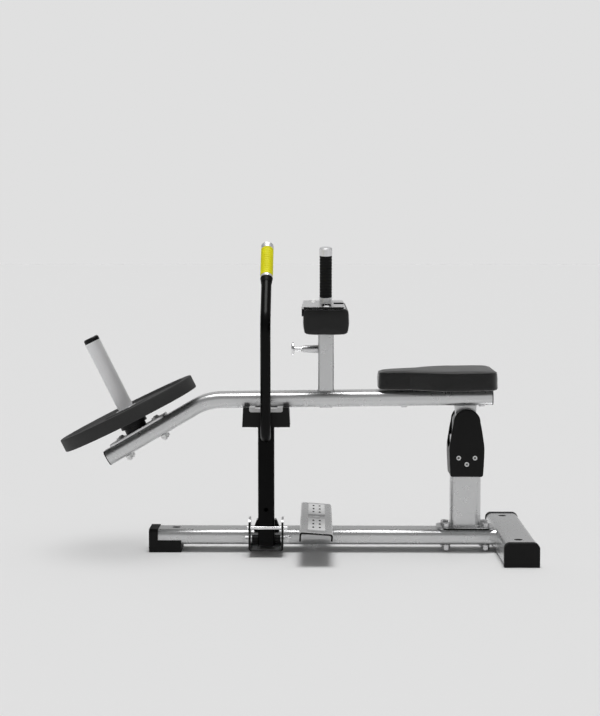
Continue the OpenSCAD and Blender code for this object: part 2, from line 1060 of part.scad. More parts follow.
// Plastic sleeves that guide the inner tube
module knee_post_glide() {
    outer = knee_w - 2 * tube_wall;
    color("#2a2a2a")
        difference() {
            for (z = [bend_z + 48, knee_top - 40])
                translate([knee_x, 0, z])
                    linear_extrude(40)
                        tube_outline(outer, outer, 5, glide_t);
            translate([knee_x - knee_w, 0, pin_z])
                bar_x(pin_r + 3, knee_w);
        }
}

// Cover plate under the beam, below the knee post
module knee_post_plate() {
    color("#1f1f1f")
        on_run()
            translate([knee_x - bend_x, 0, -beam_h / 2 - 3])
                linear_extrude(3)
                    round_rect(40, 56, 6);
}

// Threaded barrel of the pull pin, on the side of the knee post
module pin_barrel() {
    x0 = knee_x - knee_w / 2 - barrel_len;
    color("#bdbdbd")
        translate([x0, 0, pin_z])
            difference() {
                union() {
                    translate([6, 0, 0])
                        rotate([0, 90, 0])
                            cylinder(r1 = barrel_r - 1.5, r2 = barrel_r, h = barrel_len - 6);
                    bar_x(barrel_r - 3, 6);
                }
                translate([-cut, 0, 0])
                    bar_x(pin_r + 0.4, 2 * barrel_len);
            }
}

// ---------- seat ----------

// Outline of the seat, seen from above: a narrow nose that widens to the full width
module seat_outline(inset) {
    x0 = seat_x0 + inset;
    x1 = seat_x0 + seat_len - inset;
    nose = seat_nose_w / 2 - inset;
    half = seat_w / 2 - inset;
    r = 34 - inset;
    polygon([
        [x0, -nose + 20], [x0 + 20, -nose], [x0 + 95, -nose - 24], [x0 + 190, -half],
        [x1 - r, -half], [x1, -half + r], [x1, half - r], [x1 - r, half],
        [x0 + 190, half], [x0 + 95, nose + 24], [x0 + 20, nose], [x0, nose - 20]
    ]);
}

// The seat's underside: on top of the lift arm, parallel to it
module on_seat() {
    on_run()
        translate([-bend_x, 0, beam_h / 2 + seat_gap])
            children();
}

module seat_pad() {
    color("#2b2b2b")
        difference() {
            on_seat()
                linear_extrude(seat_t)
                    seat_outline(0);
            on_seat()
                translate([0, 0, -cut])
                    linear_extrude(board_t + cut)
                        seat_outline(10);
        }
}

module seat_board() {
    color("#141414")
        difference() {
            on_seat()
                linear_extrude(board_t)
                    seat_outline(10.3);
            seat_bolt_spots()
                cylinder(r = seat_bolt_r + 0.6, h = 4 * beam_h, center = true);
        }
}

// Bolts from under the beam into the seat's board, with the spacers above the beam
module seat_bolts() {
    color("#bcbcbc")
        seat_bolt_spots() {
            translate([0, 0, -beam_h / 2 - 7])
                hex(17, 7);
            translate([0, 0, -beam_h / 2])
                cylinder(r = seat_bolt_r, h = beam_h + seat_gap + board_t - 1);
            translate([0, 0, beam_h / 2])
                cylinder(r = 11, h = seat_gap);
        }
}

// ---------- catch lever ----------

module lever_post() {
    color("#121212")
        difference() {
            translate([catch_x, lever_y, lever_z - lever_toe])
                linear_extrude(saddle_z0 - lever_z + lever_toe)
                    tube_outline(lever_w, lever_w, 4, tube_wall);
            translate([catch_x - lever_w, lever_y, lever_z])
                bar_x(bush_r, 2 * lever_w);
            translate([catch_x, lever_y - lever_w / 2, 145])
                bar_y(6.5, 12);
            translate([catch_x, lever_y - lever_w / 2, handle_foot_z])
                bar_y(handle_d / 2, 12);
        }
}

// Plain bushes in the lever's foot
module lever_bushes() {
    color("#262626")
        for (side = [-1, 1])
            translate([catch_x + side * 33.5 - 11, lever_y, lever_z])
                difference() {
                    union() {
                        bar_x(bush_r, 22);
                        translate([side > 0 ? 3 : 0, 0, 0])
                            bar_x(14, 19);
                    }
                    translate([-cut, 0, 0])
                        bar_x(axle_r + 0.05, 30);
                }
}

// Everything within the reach at which the saddle clears the arm
module saddle_limit(inset) {
    translate([catch_x - saddle_w, lever_y, lever_z])
        bar_x(saddle_reach - inset, 2 * saddle_w, $fn = 360);
}

// The saddle's upright profile between two stations along Y
module saddle_profile(y0, y1) {
    translate([catch_x, (y0 + y1) / 2, 0])
        along_y(y1 - y0)
            polygon([
                [-saddle_w / 2, saddle_z0], [saddle_w / 2, saddle_z0],
                [saddle_w / 2 - 3, saddle_top], [-saddle_w / 2 + 3, saddle_top]
            ]);
}

// Outline of the liner: round lower corners, level top
module liner_outline(over) {
    translate([0, liner_z + 7])
        round_rect(liner_w, 14, 6);
    translate([-liner_w / 2, liner_z + 7])
        square([liner_w, saddle_top + over - liner_z - 7]);
}

// Housing on top of the lever that catches the arm's beam
module saddle_block() {
    color("#191919")
        difference() {
            union() {
                saddle_profile(saddle_y0, saddle_lip_y);
                intersection() {
                    saddle_profile(saddle_y0, saddle_y1);
                    saddle_limit(1);
                }
            }
            translate([catch_x, 0, 0])
                along_y(3 * beam_w)
                    liner_outline(cut);
            saddle_screw_spots()
                cylinder(r = 3.05, h = 18, center = true);
        }
}

// Spots of the saddle's screws, on its underside, pointing down
module saddle_screw_spots() {
    for (side = [-1, 1])
        translate([catch_x + side * 37, -60, saddle_z0])
            rotate([180, 0, 0])
                children();
}

// Hard-wearing liner let into the saddle; its near end is a lip with a level slot
module saddle_liner() {
    color("#bcbcbc")
        difference() {
            union() {
                translate([catch_x, (saddle_y0 + saddle_lip_y) / 2, 0])
                    along_y(saddle_lip_y - saddle_y0)
                        liner_outline(0);
                intersection() {
                    translate([catch_x, (saddle_y0 + saddle_y1) / 2, 0])
                        along_y(saddle_y1 - saddle_y0)
                            liner_outline(0);
                    saddle_limit(0);
                }
            }
            translate([catch_x - liner_w / 3, 2 * saddle_y0, liner_slot_z])
                cube([liner_w / 1.5, -2 * saddle_y0, beam_h]);
        }
}

module saddle_screws() {
    color("#b0b0b0")
        saddle_screw_spots()
            button_screw(3, 8, 6.5, 6);
}

// Stations along the handle's centreline: y, z and the angle of the bend's outward normal
function handle_stations(over) = concat(
    [[lever_y - lever_w / 2 + tube_wall + over, handle_foot_z, -90]],
    [for (t = [-90:-10:-180]) [
        handle_y + handle_foot_r + handle_foot_r * cos(t),
        handle_foot_z + handle_foot_r + handle_foot_r * sin(t), t
    ]],
    [for (t = [180:-5:185 - handle_lean]) [
        handle_y + handle_bend_r + handle_bend_r * cos(t), handle_bend_z + handle_bend_r * sin(t), t
    ]],
    [for (end = [0, lean_len - 12 + over]) [
        handle_y + handle_bend_r - handle_bend_r * cos(handle_lean) + end * sin(handle_lean),
        handle_bend_z + handle_bend_r * sin(handle_lean) + end * cos(handle_lean), 180 - handle_lean
    ]]
);

// Round bar swept along the handle's centreline; over lengthens both ends
module handle_bar(r, over) {
    stations = handle_stations(over);
    sides = 32;
    last = (len(stations) - 1) * sides;
    polyhedron(
        points = [for (s = stations, k = [0:sides - 1]) let (a = 360 * k / sides) [
            catch_x + r * cos(a), s[0] + r * sin(a) * cos(s[2]), s[1] + r * sin(a) * sin(s[2])
        ]],
        faces = concat(
            [[for (k = [sides - 1:-1:0]) k]],
            [for (i = [0:len(stations) - 2], k = [0:sides - 1]) let (n = (k + 1) % sides) [
                i * sides + n, (i + 1) * sides + n, (i + 1) * sides + k, i * sides + k
            ]],
            [[for (k = [0:sides - 1]) last + k]]
        )
    );
}

// Bent tube from the lever's post up to the hand
module handle_tube() {
    color("#141414")
        difference() {
            handle_bar(handle_d / 2, 0);
            handle_bar(handle_d / 2 - handle_wall, cut);
        }
}

// Ribbed rubber outline, turned about the z axis
module ribbed_grip(r, bore, len, ribs) {
    pitch = len / ribs;
    rotate_extrude()
        difference() {
            translate([bore, 0])
                square([r - bore, len]);
            for (i = [1:ribs - 1])
                translate([r, i * pitch])
                    rotate(45)
                        square(1.6, center = true);
        }
}

module handle_grip() {
    color("#f4f416")
        on_handle_top()
            translate([0, 0, lean_len - hand_cap_len - hand_len])
                ribbed_grip(hand_r, handle_d / 2, hand_len, 12);
}

// Bright end cap, bright lower collar and black flared collar on the handle
module handle_collars() {
    collar_z = lean_len - hand_cap_len - hand_len - hand_collar_len;
    color("#dadada")
        on_handle_top() {
            translate([0, 0, lean_len - hand_cap_len])
                difference() {
                    cylinder(r = hand_r, h = hand_cap_len);
                    translate([0, 0, -cut])
                        cylinder(r = handle_d / 2, h = hand_cap_len - 11 + cut);
                }
            translate([0, 0, collar_z])
                difference() {
                    cylinder(r = hand_r - 0.8, h = hand_collar_len);
                    translate([0, 0, -cut])
                        cylinder(r = handle_d / 2, h = hand_collar_len + 2 * cut);
                }
            translate([0, 0, collar_z - hand_flare_len - 0.2])
                difference() {
                    cylinder(r1 = 17.5, r2 = hand_r, h = hand_flare_len);
                    translate([0, 0, -cut])
                        cylinder(r = handle_d / 2, h = hand_flare_len + 2 * cut);
                }
        }
}

// ---------- thigh carriage ----------

module carriage_tube() {
    color("#c4c4c4")
        difference() {
            translate([knee_x, 0, carriage_low])
                linear_extrude(pad_top - carriage_low)
                    tube_outline(inner_w, inner_w, 3, inner_wall);
            for (i = [0:6])
                translate([knee_x - inner_w, 0, pin_z - i * hole_pitch])
                    bar_x(pin_hole_r, inner_w);
        }
}

// Top plate that carries the pads, folded down along its front edge
module pad_bracket() {
    x0 = pad_x0 - 3;
    color("#b4b4b4")
        difference() {
            union() {
                translate([x0 + pad_plate_w / 2, 0, pad_top])
                    linear_extrude(pad_plate_t)
                        round_rect(pad_plate_w, 2 * pad_y, 10);
                translate([x0 - 1, -pad_y + 10, pad_top - 22])
                    cube([4, 2 * pad_y - 20, 22 + pad_plate_t - 1]);
            }
            translate([knee_x, -138, pad_top - cut])
                linear_extrude(2 * pad_plate_t)
                    round_rect(29, 210, 6);
            translate([x0 + pad_plate_w - 16, 12, pad_top - cut])
                linear_extrude(2 * pad_plate_t)
                    round_rect(34, 124, 4);
            pad_bolt_spots()
                cylinder(r = pad_bolt_r + 0.05, h = 4 * pad_plate_t, center = true);
        }
}

// Spots of the pads' bolts, on top of the plate
module pad_bolt_spots() {
    for (y = pad_bolt_y)
        translate([y < 0 ? knee_x : knee_x - 40, y, pad_top + pad_plate_t])
            children();
}

// One thigh pad; side is -1 near, 1 far
module thigh_pad(side) {
    color("#262626")
        translate([pad_x0 + 0.3, side * (pad_gap + pad_len / 2), pad_top - pad_t])
            translate([0, -pad_len / 2, 0])
                cube([pad_w, pad_len, pad_t]);
}

module thigh_pad_left() {
    thigh_pad(-1);
}

module thigh_pad_right() {
    thigh_pad(1);
}

// Bolts that hold the pads under the plate
module pad_bolts() {
    color("#e2e2e2")
        pad_bolt_spots()
            button_screw(pad_bolt_r, pad_plate_t - 0.5, 9, 3.6);
}

module hand_grip() {
    color("#1d1d1d")
        on_grip()
            translate([0, 0, grip_foot])
                ribbed_grip(grip_r, grip_core_r, grip_len, 13);
}

// Steel stub inside the grip, with its foot collar and bright end cap
module hand_grip_core() {
    color("#cccccc")
        on_grip() {
            translate([0, 0, 4])
                cylinder(r = grip_core_r, h = grip_foot + grip_len - 4);
            difference() {
                translate([0, 0, -10])
                    cylinder(r = grip_r + 1, h = grip_foot + 10);
                translate([0, 0, 3])
                    cylinder(r = grip_core_r, h = 30);
                rotate([-grip_lean, 0, 0])
                    translate([-50, -50, -100])
                        cube([100, 100, 100]);
            }
            translate([0, 0, grip_foot + grip_len])
                cylinder(r = grip_r + 0.8, h = grip_cap_len - 3);
            translate([0, 0, grip_foot + grip_len + grip_cap_len - 3])
                cylinder(r1 = grip_r + 0.8, r2 = grip_r - 2, h = 3);
        }
}

// ---------- pull pin ----------

// Pin, neck and mushroom knob; it pulls out along -X
module pull_pin() {
    x0 = knee_x - knee_w / 2 - barrel_len;
    color("#b8b8b8")
        translate([0, 0, pin_z]) {
            translate([x0 - 21, 0, 0])
                bar_x(pin_r, pin_tip_x - x0 + 21);
            translate([x0 - 24, 0, 0])
                bar_x(7, 22);
            translate([x0 - 33, 0, 0])
                rotate([0, 90, 0])
                    rotate_extrude()
                        polygon([
                            [0, 0], [16, 1], [knob_r, 5], [knob_r, 8], [12, 11], [0, 11]
                        ]);
        }
}

// ---------- weight plate ----------

module on_plate() {
    on_sleeve()
        translate([0, 0, plate_foot + plate_gap])
            children();
}

// Rubber body of the plate, moulded around the iron core
module plate_rubber() {
    r = plate_d / 2;
    t = plate_t;
    color("#363636")
        on_plate()
            difference() {
                rotate_extrude($fn = 96)
                    polygon([
                        [plate_bore_r, 0], [r - 5, 0], [r - 1, 2], [r, 6], [r, t - 6],
                        [r - 1, t - 2], [r - 5, t], [r - 26, t], [r - 34, t - 9],
                        [78, t - 9], [70, t - 2], [plate_bore_r, t - 2]
                    ]);
                translate([0, 0, (t - core_t) / 2 - 3])
                    cylinder(r = core_r, h = core_t);
            }
}

// Iron core inside the rubber
module plate_core() {
    color("#7a7a7a")
        on_plate()
            difference() {
                translate([0, 0, (plate_t - core_t) / 2 - 3])
                    cylinder(r = core_r, h = core_t);
                translate([0, 0, -cut])
                    cylinder(r = plate_bore_r, h = 2 * plate_t);
            }
}

base_beam();
front_foot();
rear_cross_foot();
cross_foot_cap_left();
cross_foot_cap_right();
rear_post();
post_flange();
flange_bolts();
flange_nuts();
pivot_yoke();
pivot_axle();
axle_retainers();
pivot_cover_near();
pivot_cover_far();
cover_screws();
foot_plate();
foot_plate_wedge();
tread_inserts();
foot_plate_bolt();
catch_bracket();
catch_axle();
catch_axle_nut();
catch_washers();
catch_stop_rod();
catch_bumper();
bumper_screws();
lift_beam();
beam_end_caps();
pivot_hub();
pivot_bearings();
sleeve_plate();
sleeve_plate_bolts();
weight_sleeve();
sleeve_cap();
sleeve_hub();
knee_post();
knee_post_glide();
knee_post_plate();
pin_barrel();
seat_pad();
seat_board();
seat_bolts();
lever_post();
lever_bushes();
saddle_block();
saddle_liner();
saddle_screws();
handle_tube();
handle_grip();
handle_collars();
carriage_tube();
pad_bracket();
thigh_pad_left();
thigh_pad_right();
pad_bolts();
hand_grip();
hand_grip_core();
pull_pin();
plate_rubber();
plate_core();
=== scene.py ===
"""Plate-loaded seated calf raise machine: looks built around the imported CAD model."""

import math
import random

import bmesh
import bpy
import numpy as np
from mathutils import Matrix, Vector
from mathutils.bvhtree import BVHTree

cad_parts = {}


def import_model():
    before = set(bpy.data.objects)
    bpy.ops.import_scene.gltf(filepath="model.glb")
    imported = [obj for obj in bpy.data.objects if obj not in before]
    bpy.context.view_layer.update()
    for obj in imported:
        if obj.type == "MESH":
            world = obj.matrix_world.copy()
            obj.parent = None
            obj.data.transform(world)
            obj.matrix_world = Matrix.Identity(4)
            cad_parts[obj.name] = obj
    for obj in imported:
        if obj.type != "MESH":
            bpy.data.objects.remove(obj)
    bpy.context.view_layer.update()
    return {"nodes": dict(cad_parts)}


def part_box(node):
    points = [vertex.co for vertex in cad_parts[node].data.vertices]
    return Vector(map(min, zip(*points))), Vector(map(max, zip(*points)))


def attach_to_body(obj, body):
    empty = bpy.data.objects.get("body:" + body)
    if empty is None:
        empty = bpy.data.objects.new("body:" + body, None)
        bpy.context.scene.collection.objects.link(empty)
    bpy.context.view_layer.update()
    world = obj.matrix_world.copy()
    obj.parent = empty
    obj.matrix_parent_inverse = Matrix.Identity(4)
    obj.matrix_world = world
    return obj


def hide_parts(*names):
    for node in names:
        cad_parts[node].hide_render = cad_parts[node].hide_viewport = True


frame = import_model()
NODES = frame["nodes"]
scene = bpy.context.scene
MM = 0.001

# ---------------------------------------------------------------- camera

camera = bpy.data.objects.new("camera", bpy.data.cameras.new("camera"))
scene.collection.objects.link(camera)
camera.data.sensor_width = 36
camera.data.lens = 80
camera.data.clip_end = 200
CAMERA_DOWN, CAMERA_TURN = 4.2414, 0.6284
camera.location = (0.074, -5.0, 0.981)
camera.rotation_euler = (math.radians(90 - CAMERA_DOWN), 0, math.radians(CAMERA_TURN))
scene.camera = camera
scene.view_settings.view_transform = "Standard"


# ---------------------------------------------------------------- node helpers


class Graph:
    """Short ways to add shader nodes to one material or world."""

    def __init__(self, tree):
        self.tree = tree

    def add(self, kind, **settings):
        node = self.tree.nodes.new(kind)
        for key, value in settings.items():
            setattr(node, key, value)
        return node

    def link(self, a, b):
        self.tree.links.new(a, b)

    def coords(self, scale=(1, 1, 1)):
        place = self.add("ShaderNodeTexCoord")
        mapping = self.add("ShaderNodeMapping")
        mapping.inputs["Scale"].default_value = scale
        self.link(place.outputs["Object"], mapping.inputs["Vector"])
        return mapping.outputs["Vector"]

    def noise(self, scale, detail=3.0, rough=0.55, stretch=(1, 1, 1)):
        node = self.add("ShaderNodeTexNoise")
        node.inputs["Scale"].default_value = scale
        node.inputs["Detail"].default_value = detail
        node.inputs["Roughness"].default_value = rough
        self.link(self.coords(stretch), node.inputs["Vector"])
        return node.outputs["Fac"]

    def cells(self, scale, feature="F1", stretch=(1, 1, 1)):
        node = self.add("ShaderNodeTexVoronoi", feature=feature)
        node.inputs["Scale"].default_value = scale
        self.link(self.coords(stretch), node.inputs["Vector"])
        return node.outputs["Distance"]

    def math(self, operation, a, b=None):
        node = self.add("ShaderNodeMath", operation=operation)
        for socket, value in zip(node.inputs, (a, b)):
            if value is None:
                continue
            if isinstance(value, (int, float)):
                socket.default_value = value
            else:
                self.link(value, socket)
        return node.outputs[0]

    def remap(self, fac, low, high, source=(0.0, 1.0)):
        node = self.add("ShaderNodeMapRange")
        self.link(fac, node.inputs["Value"])
        node.inputs["From Min"].default_value = source[0]
        node.inputs["From Max"].default_value = source[1]
        node.inputs["To Min"].default_value = low
        node.inputs["To Max"].default_value = high
        return node.outputs["Result"]

    def ramp(self, fac, stops):
        node = self.add("ShaderNodeValToRGB")
        ramp = node.color_ramp
        while len(ramp.elements) < len(stops):
            ramp.elements.new(0.5)
        for element, (place, colour) in zip(ramp.elements, stops):
            element.position = place
            element.color = (*colour, 1)
        self.link(fac, node.inputs["Fac"])
        return node.outputs["Color"]

    def mix(self, fac, a, b):
        node = self.add("ShaderNodeMix", data_type="RGBA")
        for socket, value in zip((node.inputs[0], node.inputs[6], node.inputs[7]), (fac, a, b)):
            if isinstance(value, (int, float)):
                socket.default_value = value
            elif isinstance(value, tuple):
                socket.default_value = (*value, 1)
            else:
                self.link(value, socket)
        return node.outputs[2]

    def bump(self, height, strength, distance, normal=None):
        node = self.add("ShaderNodeBump")
        node.inputs["Strength"].default_value = strength
        node.inputs["Distance"].default_value = distance
        self.link(height, node.inputs["Height"])
        if normal is not None:
            self.link(normal, node.inputs["Normal"])
        return node.outputs["Normal"]


def grey(value, tint=(1, 1, 1)):
    """A neutral colour, or one with a slight tint."""
    return tuple(value * t for t in tint)


def material(name, metallic=0.0, coat=0.0, coat_rough=0.1, specular=0.5, sheen=0.0):
    """A new material with its constant sockets set; returns it, its graph and its shader."""
    made = bpy.data.materials.new(name)
    made.use_nodes = True
    shader = made.node_tree.nodes["Principled BSDF"]
    shader.inputs["Metallic"].default_value = metallic
    shader.inputs["Coat Weight"].default_value = coat
    shader.inputs["Coat Roughness"].default_value = coat_rough
    shader.inputs["Specular IOR Level"].default_value = specular
    shader.inputs["Sheen Weight"].default_value = sheen
    return made, Graph(made.node_tree), shader


def finish_material(graph, shader, colour, rough, normal):
    """Joins a material's three textured inputs to its shader."""
    graph.link(colour, shader.inputs["Base Color"])
    graph.link(rough, shader.inputs["Roughness"])
    graph.link(normal, shader.inputs["Normal"])


# ---------------------------------------------------------------- materials


def silver_paint(name, level=0.66, dark_edges_and_floor_shade=False):
    """Metallic powder coat: flakes, fine orange peel and slow tone changes.

    With the dark edge switch, faces that look along Y (a plate's cut edges) are black. What lies below 14
    mm above the floor is black too, fading out by 20 mm: painted shade of the floor contact that also
    darkens the base's bottom edge.
    """
    made, g, shader = material(name, metallic=0.84, coat=0.10, coat_rough=0.28)
    slow = g.noise(5.0, 3.0)
    flake = g.noise(2600.0, 1.0, 0.5)
    tone = g.math("ADD", g.remap(slow, -0.035, 0.035), g.remap(flake, -0.05, 0.05, (0.3, 0.7)))
    cool = (0.995, 1, 1.005)
    colour = g.ramp(g.math("ADD", tone, 0.5),
                    [(0.35, grey(level * 0.86, cool)), (0.65, grey(level * 1.12, cool))])
    if dark_edges_and_floor_shade:
        normal = g.add("ShaderNodeTexCoord").outputs["Normal"]
        parts = g.add("ShaderNodeSeparateXYZ")
        g.link(normal, parts.inputs[0])
        facing = g.math("ABSOLUTE", parts.outputs["Y"])
        step = g.remap(facing, 0.0, 1.0, (0.80, 0.90))
        # Painted shade: black below 14 mm height, fading out by 20 mm, for the shadow where the part meets
        # the floor and for its dark bottom edge
        place = g.add("ShaderNodeSeparateXYZ")
        g.link(g.coords(), place.inputs[0])
        low = g.remap(place.outputs["Z"], 1.0, 0.0, (0.014, 0.020))
        colour = g.mix(g.math("MAXIMUM", step, low), colour, grey(0.008))
    rough = g.remap(g.noise(38.0, 4.0), 0.25, 0.31)
    normal = g.bump(g.noise(900.0, 2.0), 0.025, 0.0002)
    normal = g.bump(g.noise(90.0, 2.0), 0.010, 0.0004, normal)
    finish_material(g, shader, colour, rough, normal)
    return made


def black_paint(name, gloss):
    """Black powder coat with orange peel and a little dust."""
    made, g, shader = material(name, coat=gloss * 0.5, coat_rough=0.10, specular=gloss)
    dust = g.noise(14.0, 6.0, 0.7)
    colour = g.ramp(dust, [(0.45, grey(0.0018)), (0.9, grey(0.0050))])
    rough = g.remap(g.noise(60.0, 4.0), 0.24, 0.36)
    normal = g.bump(g.noise(700.0, 2.0), 0.16, 0.0002)
    finish_material(g, shader, colour, rough, normal)
    return made


def steel(name, level, rough_low, rough_high, stretch=(1, 1, 1), scratch=900.0, metallic=1.0):
    """Bare or plated metal with fine directional scratches and handling stains."""
    made, g, shader = material(name, metallic=metallic)
    lines = g.noise(scratch, 3.0, 0.6, stretch)
    stain = g.noise(24.0, 5.0, 0.65)
    tone = g.math("ADD", g.remap(lines, -0.10, 0.10), g.remap(stain, -0.06, 0.06))
    tint = (1, 1, 1.01)
    colour = g.ramp(g.math("ADD", tone, 0.5),
                    [(0.30, grey(level * 0.82, tint)), (0.70, grey(min(level * 1.08, 0.97), tint))])
    rough = g.remap(g.math("ADD", g.math("MULTIPLY", lines, 0.5), g.math("MULTIPLY", stain, 0.5)),
                    rough_low, rough_high, (0.3, 0.7))
    normal = g.bump(lines, 0.10, 0.0002)
    finish_material(g, shader, colour, rough, normal)
    return made


def moulded(name, level, rough_low, rough_high, grain, depth, specular=0.5):
    """Moulded plastic or rubber: spark-eroded grain, faint flow marks and dust in the grain."""
    made, g, shader = material(name, specular=specular)
    cells = g.cells(grain)
    flow = g.noise(9.0, 4.0, 0.6)
    tone = g.math("ADD", g.remap(flow, -0.25, 0.25), g.remap(cells, 0.10, -0.10, (0.0, 0.6)))
    colour = g.ramp(g.math("ADD", tone, 0.5), [(0.2, grey(level * 0.75)), (0.8, grey(level * 1.3))])
    rough = g.remap(g.noise(45.0, 4.0), rough_low, rough_high)
    normal = g.bump(cells, depth, 0.0002)
    finish_material(g, shader, colour, rough, normal)
    return made


def vinyl():
    """Upholstery vinyl: pebbled leather grain in two sizes, pores and slow sheen changes."""
    made, g, shader = material("pebbled_vinyl", specular=0.20, sheen=0.55)
    pebble = g.cells(620.0, "SMOOTH_F1")
    crease = g.cells(300.0, "DISTANCE_TO_EDGE")
    pores = g.noise(2600.0, 2.0)
    worn = g.noise(11.0, 5.0, 0.65)
    tone = g.math("ADD", g.remap(worn, -0.2, 0.2), g.remap(pebble, 0.12, -0.12, (0.0, 0.8)))
    colour = g.ramp(g.math("ADD", tone, 0.5), [(0.25, grey(0.0060)), (0.75, grey(0.0110))])
    rough = g.remap(g.math("ADD", g.math("MULTIPLY", worn, 0.6), g.math("MULTIPLY", pebble, 0.4)),
                    0.36, 0.52, (0.2, 0.8))
    normal = g.bump(pebble, 0.22, 0.0003)
    normal = g.bump(g.remap(crease, 0.0, 1.0, (0.0, 0.10)), 0.16, 0.00025, normal)
    normal = g.bump(pores, 0.08, 0.0001, normal)
    finish_material(g, shader, colour, rough, normal)
    return made


def cast_rubber():
    """Weight plate's rubber: pitted, slightly dusty, with faint rings from the mould."""
    made, g, shader = material("moulded_plate_rubber", specular=0.25)
    pits = g.cells(800.0)
    blotch = g.noise(16.0, 6.0, 0.68)
    scuff = g.noise(120.0, 3.0, 0.7, (1, 1, 6))
    tone = g.math("ADD", g.remap(blotch, -0.2, 0.2), g.remap(scuff, -0.12, 0.12))
    colour = g.ramp(g.math("ADD", tone, 0.5), [(0.2, grey(0.026)), (0.8, grey(0.048))])
    rough = g.remap(blotch, 0.55, 0.72)
    normal = g.bump(pits, 0.30, 0.0003)
    normal = g.bump(scuff, 0.12, 0.0004, normal)
    finish_material(g, shader, colour, rough, normal)
    return made


def yellow_rubber():
    """Yellow grip rubber with fine grain and a little handling dirt."""
    made, g, shader = material("yellow_grip_rubber", specular=0.35)
    soil = g.noise(26.0, 6.0, 0.7)
    grain = g.cells(1500.0)
    colour = g.ramp(soil, [(0.25, (0.86, 0.80, 0.004)), (0.7, (0.96, 0.93, 0.006))])
    rough = g.remap(g.noise(80.0, 3.0), 0.5, 0.66)
    normal = g.bump(grain, 0.25, 0.0002)
    finish_material(g, shader, colour, rough, normal)
    return made


def tread_metal():
    """Light anodised insert with a blasted surface."""
    made, g, shader = material("blasted_aluminium", metallic=0.25)
    grain = g.noise(1500.0, 3.0, 0.7)
    wear = g.noise(30.0, 5.0, 0.7)
    tone = g.math("ADD", g.remap(grain, -0.12, 0.12), g.remap(wear, -0.12, 0.12))
    colour = g.ramp(g.math("ADD", tone, 0.5), [(0.25, grey(0.86)), (0.75, grey(0.97))])
    rough = g.remap(wear, 0.40, 0.58)
    normal = g.bump(grain, 0.35, 0.0002)
    finish_material(g, shader, colour, rough, normal)
    return made


MAT = {
    "silver": silver_paint("silver_powder_coat"),
    # Plate coat: black Y-facing cut edges, and black near the floor as painted shade
    "silver_dark_edge_floor_shade": silver_paint("silver_plate_coat", 0.60, dark_edges_and_floor_shade=True),
    # Lighter copy of the same coat for the thigh pads' bracket: painted light that brightens its upward
    # face
    "silver_lit_copy_dark_edge": silver_paint("silver_bracket_coat", 0.84, dark_edges_and_floor_shade=True),
    "black": black_paint("black_coat", 0.06),
    "gloss": black_paint("black_gloss_coat", 0.10),
    "plated": steel("zinc_plated_steel", 0.70, 0.22, 0.36),
    "chrome": steel("chromed_steel", 0.86, 0.08, 0.17, scratch=500.0),
    "sleeve": steel("satin_chrome_sleeve", 0.92, 0.34, 0.46, (1, 1, 0.06), 1500.0, metallic=0.45),
    "aluminium": steel("turned_aluminium", 0.92, 0.32, 0.44, (1, 1, 5), 700.0, metallic=0.65),
    "tread": tread_metal(),
    "plastic": moulded("black_moulded_plastic", 0.0060, 0.32, 0.44, 1500.0, 0.20, 0.18),
    "liner": moulded("pale_wear_plastic", 0.62, 0.38, 0.5, 1200.0, 0.12),
    "foot": moulded("black_foot_rubber", 0.0065, 0.50, 0.66, 1000.0, 0.30, 0.2),
    "grip": moulded("black_grip_rubber", 0.0065, 0.52, 0.68, 1300.0, 0.30, 0.2),
    "yellow": yellow_rubber(),
    "vinyl": vinyl(),
    "thread": moulded("black_thread", 0.03, 0.6, 0.75, 3000.0, 0.3),
    "board": moulded("black_stained_board", 0.008, 0.6, 0.75, 500.0, 0.3),
    "plate": cast_rubber(),
    "iron": moulded("grey_cast_iron", 0.12, 0.5, 0.65, 900.0, 0.5),
    "weld": silver_paint("silver_weld_coat", 0.60),
}

NODE_LOOK = {
    "silver": "base_beam rear_cross_foot rear_post pivot_yoke foot_plate_wedge lift_beam pivot_hub "
              "sleeve_plate knee_post",
    "silver_dark_edge_floor_shade": "post_flange foot_plate catch_bracket",
    # The pads' bracket takes the lighter copy of the coat, painted light on its upward face
    "silver_lit_copy_dark_edge": "pad_bracket",
    "plated": "flange_bolts flange_nuts pivot_axle axle_retainers "
              "catch_axle catch_axle_nut catch_washers bumper_screws pivot_bearings "
              "pin_barrel seat_bolts saddle_screws carriage_tube knee_post_plate",
    "chrome": "catch_stop_rod pull_pin",
    "sleeve": "weight_sleeve",
    "aluminium": "hand_grip_core",
    # The foot plate's bolt and the sleeve plate's bolts take this light finish rather than plated steel:
    # painted light that keeps them bright where they sit in shade or reflect the dark plate
    "tread": "tread_inserts foot_plate_bolt pad_bolts cover_screws sleeve_plate_bolts",
    "plastic": "beam_end_caps sleeve_cap sleeve_hub knee_post_glide lever_bushes "
               "saddle_block",
    "liner": "saddle_liner",
    "foot": "front_foot cross_foot_cap_left cross_foot_cap_right catch_bumper",
    "black": "lever_post",
    "board": "seat_board",
    "iron": "plate_core",
}

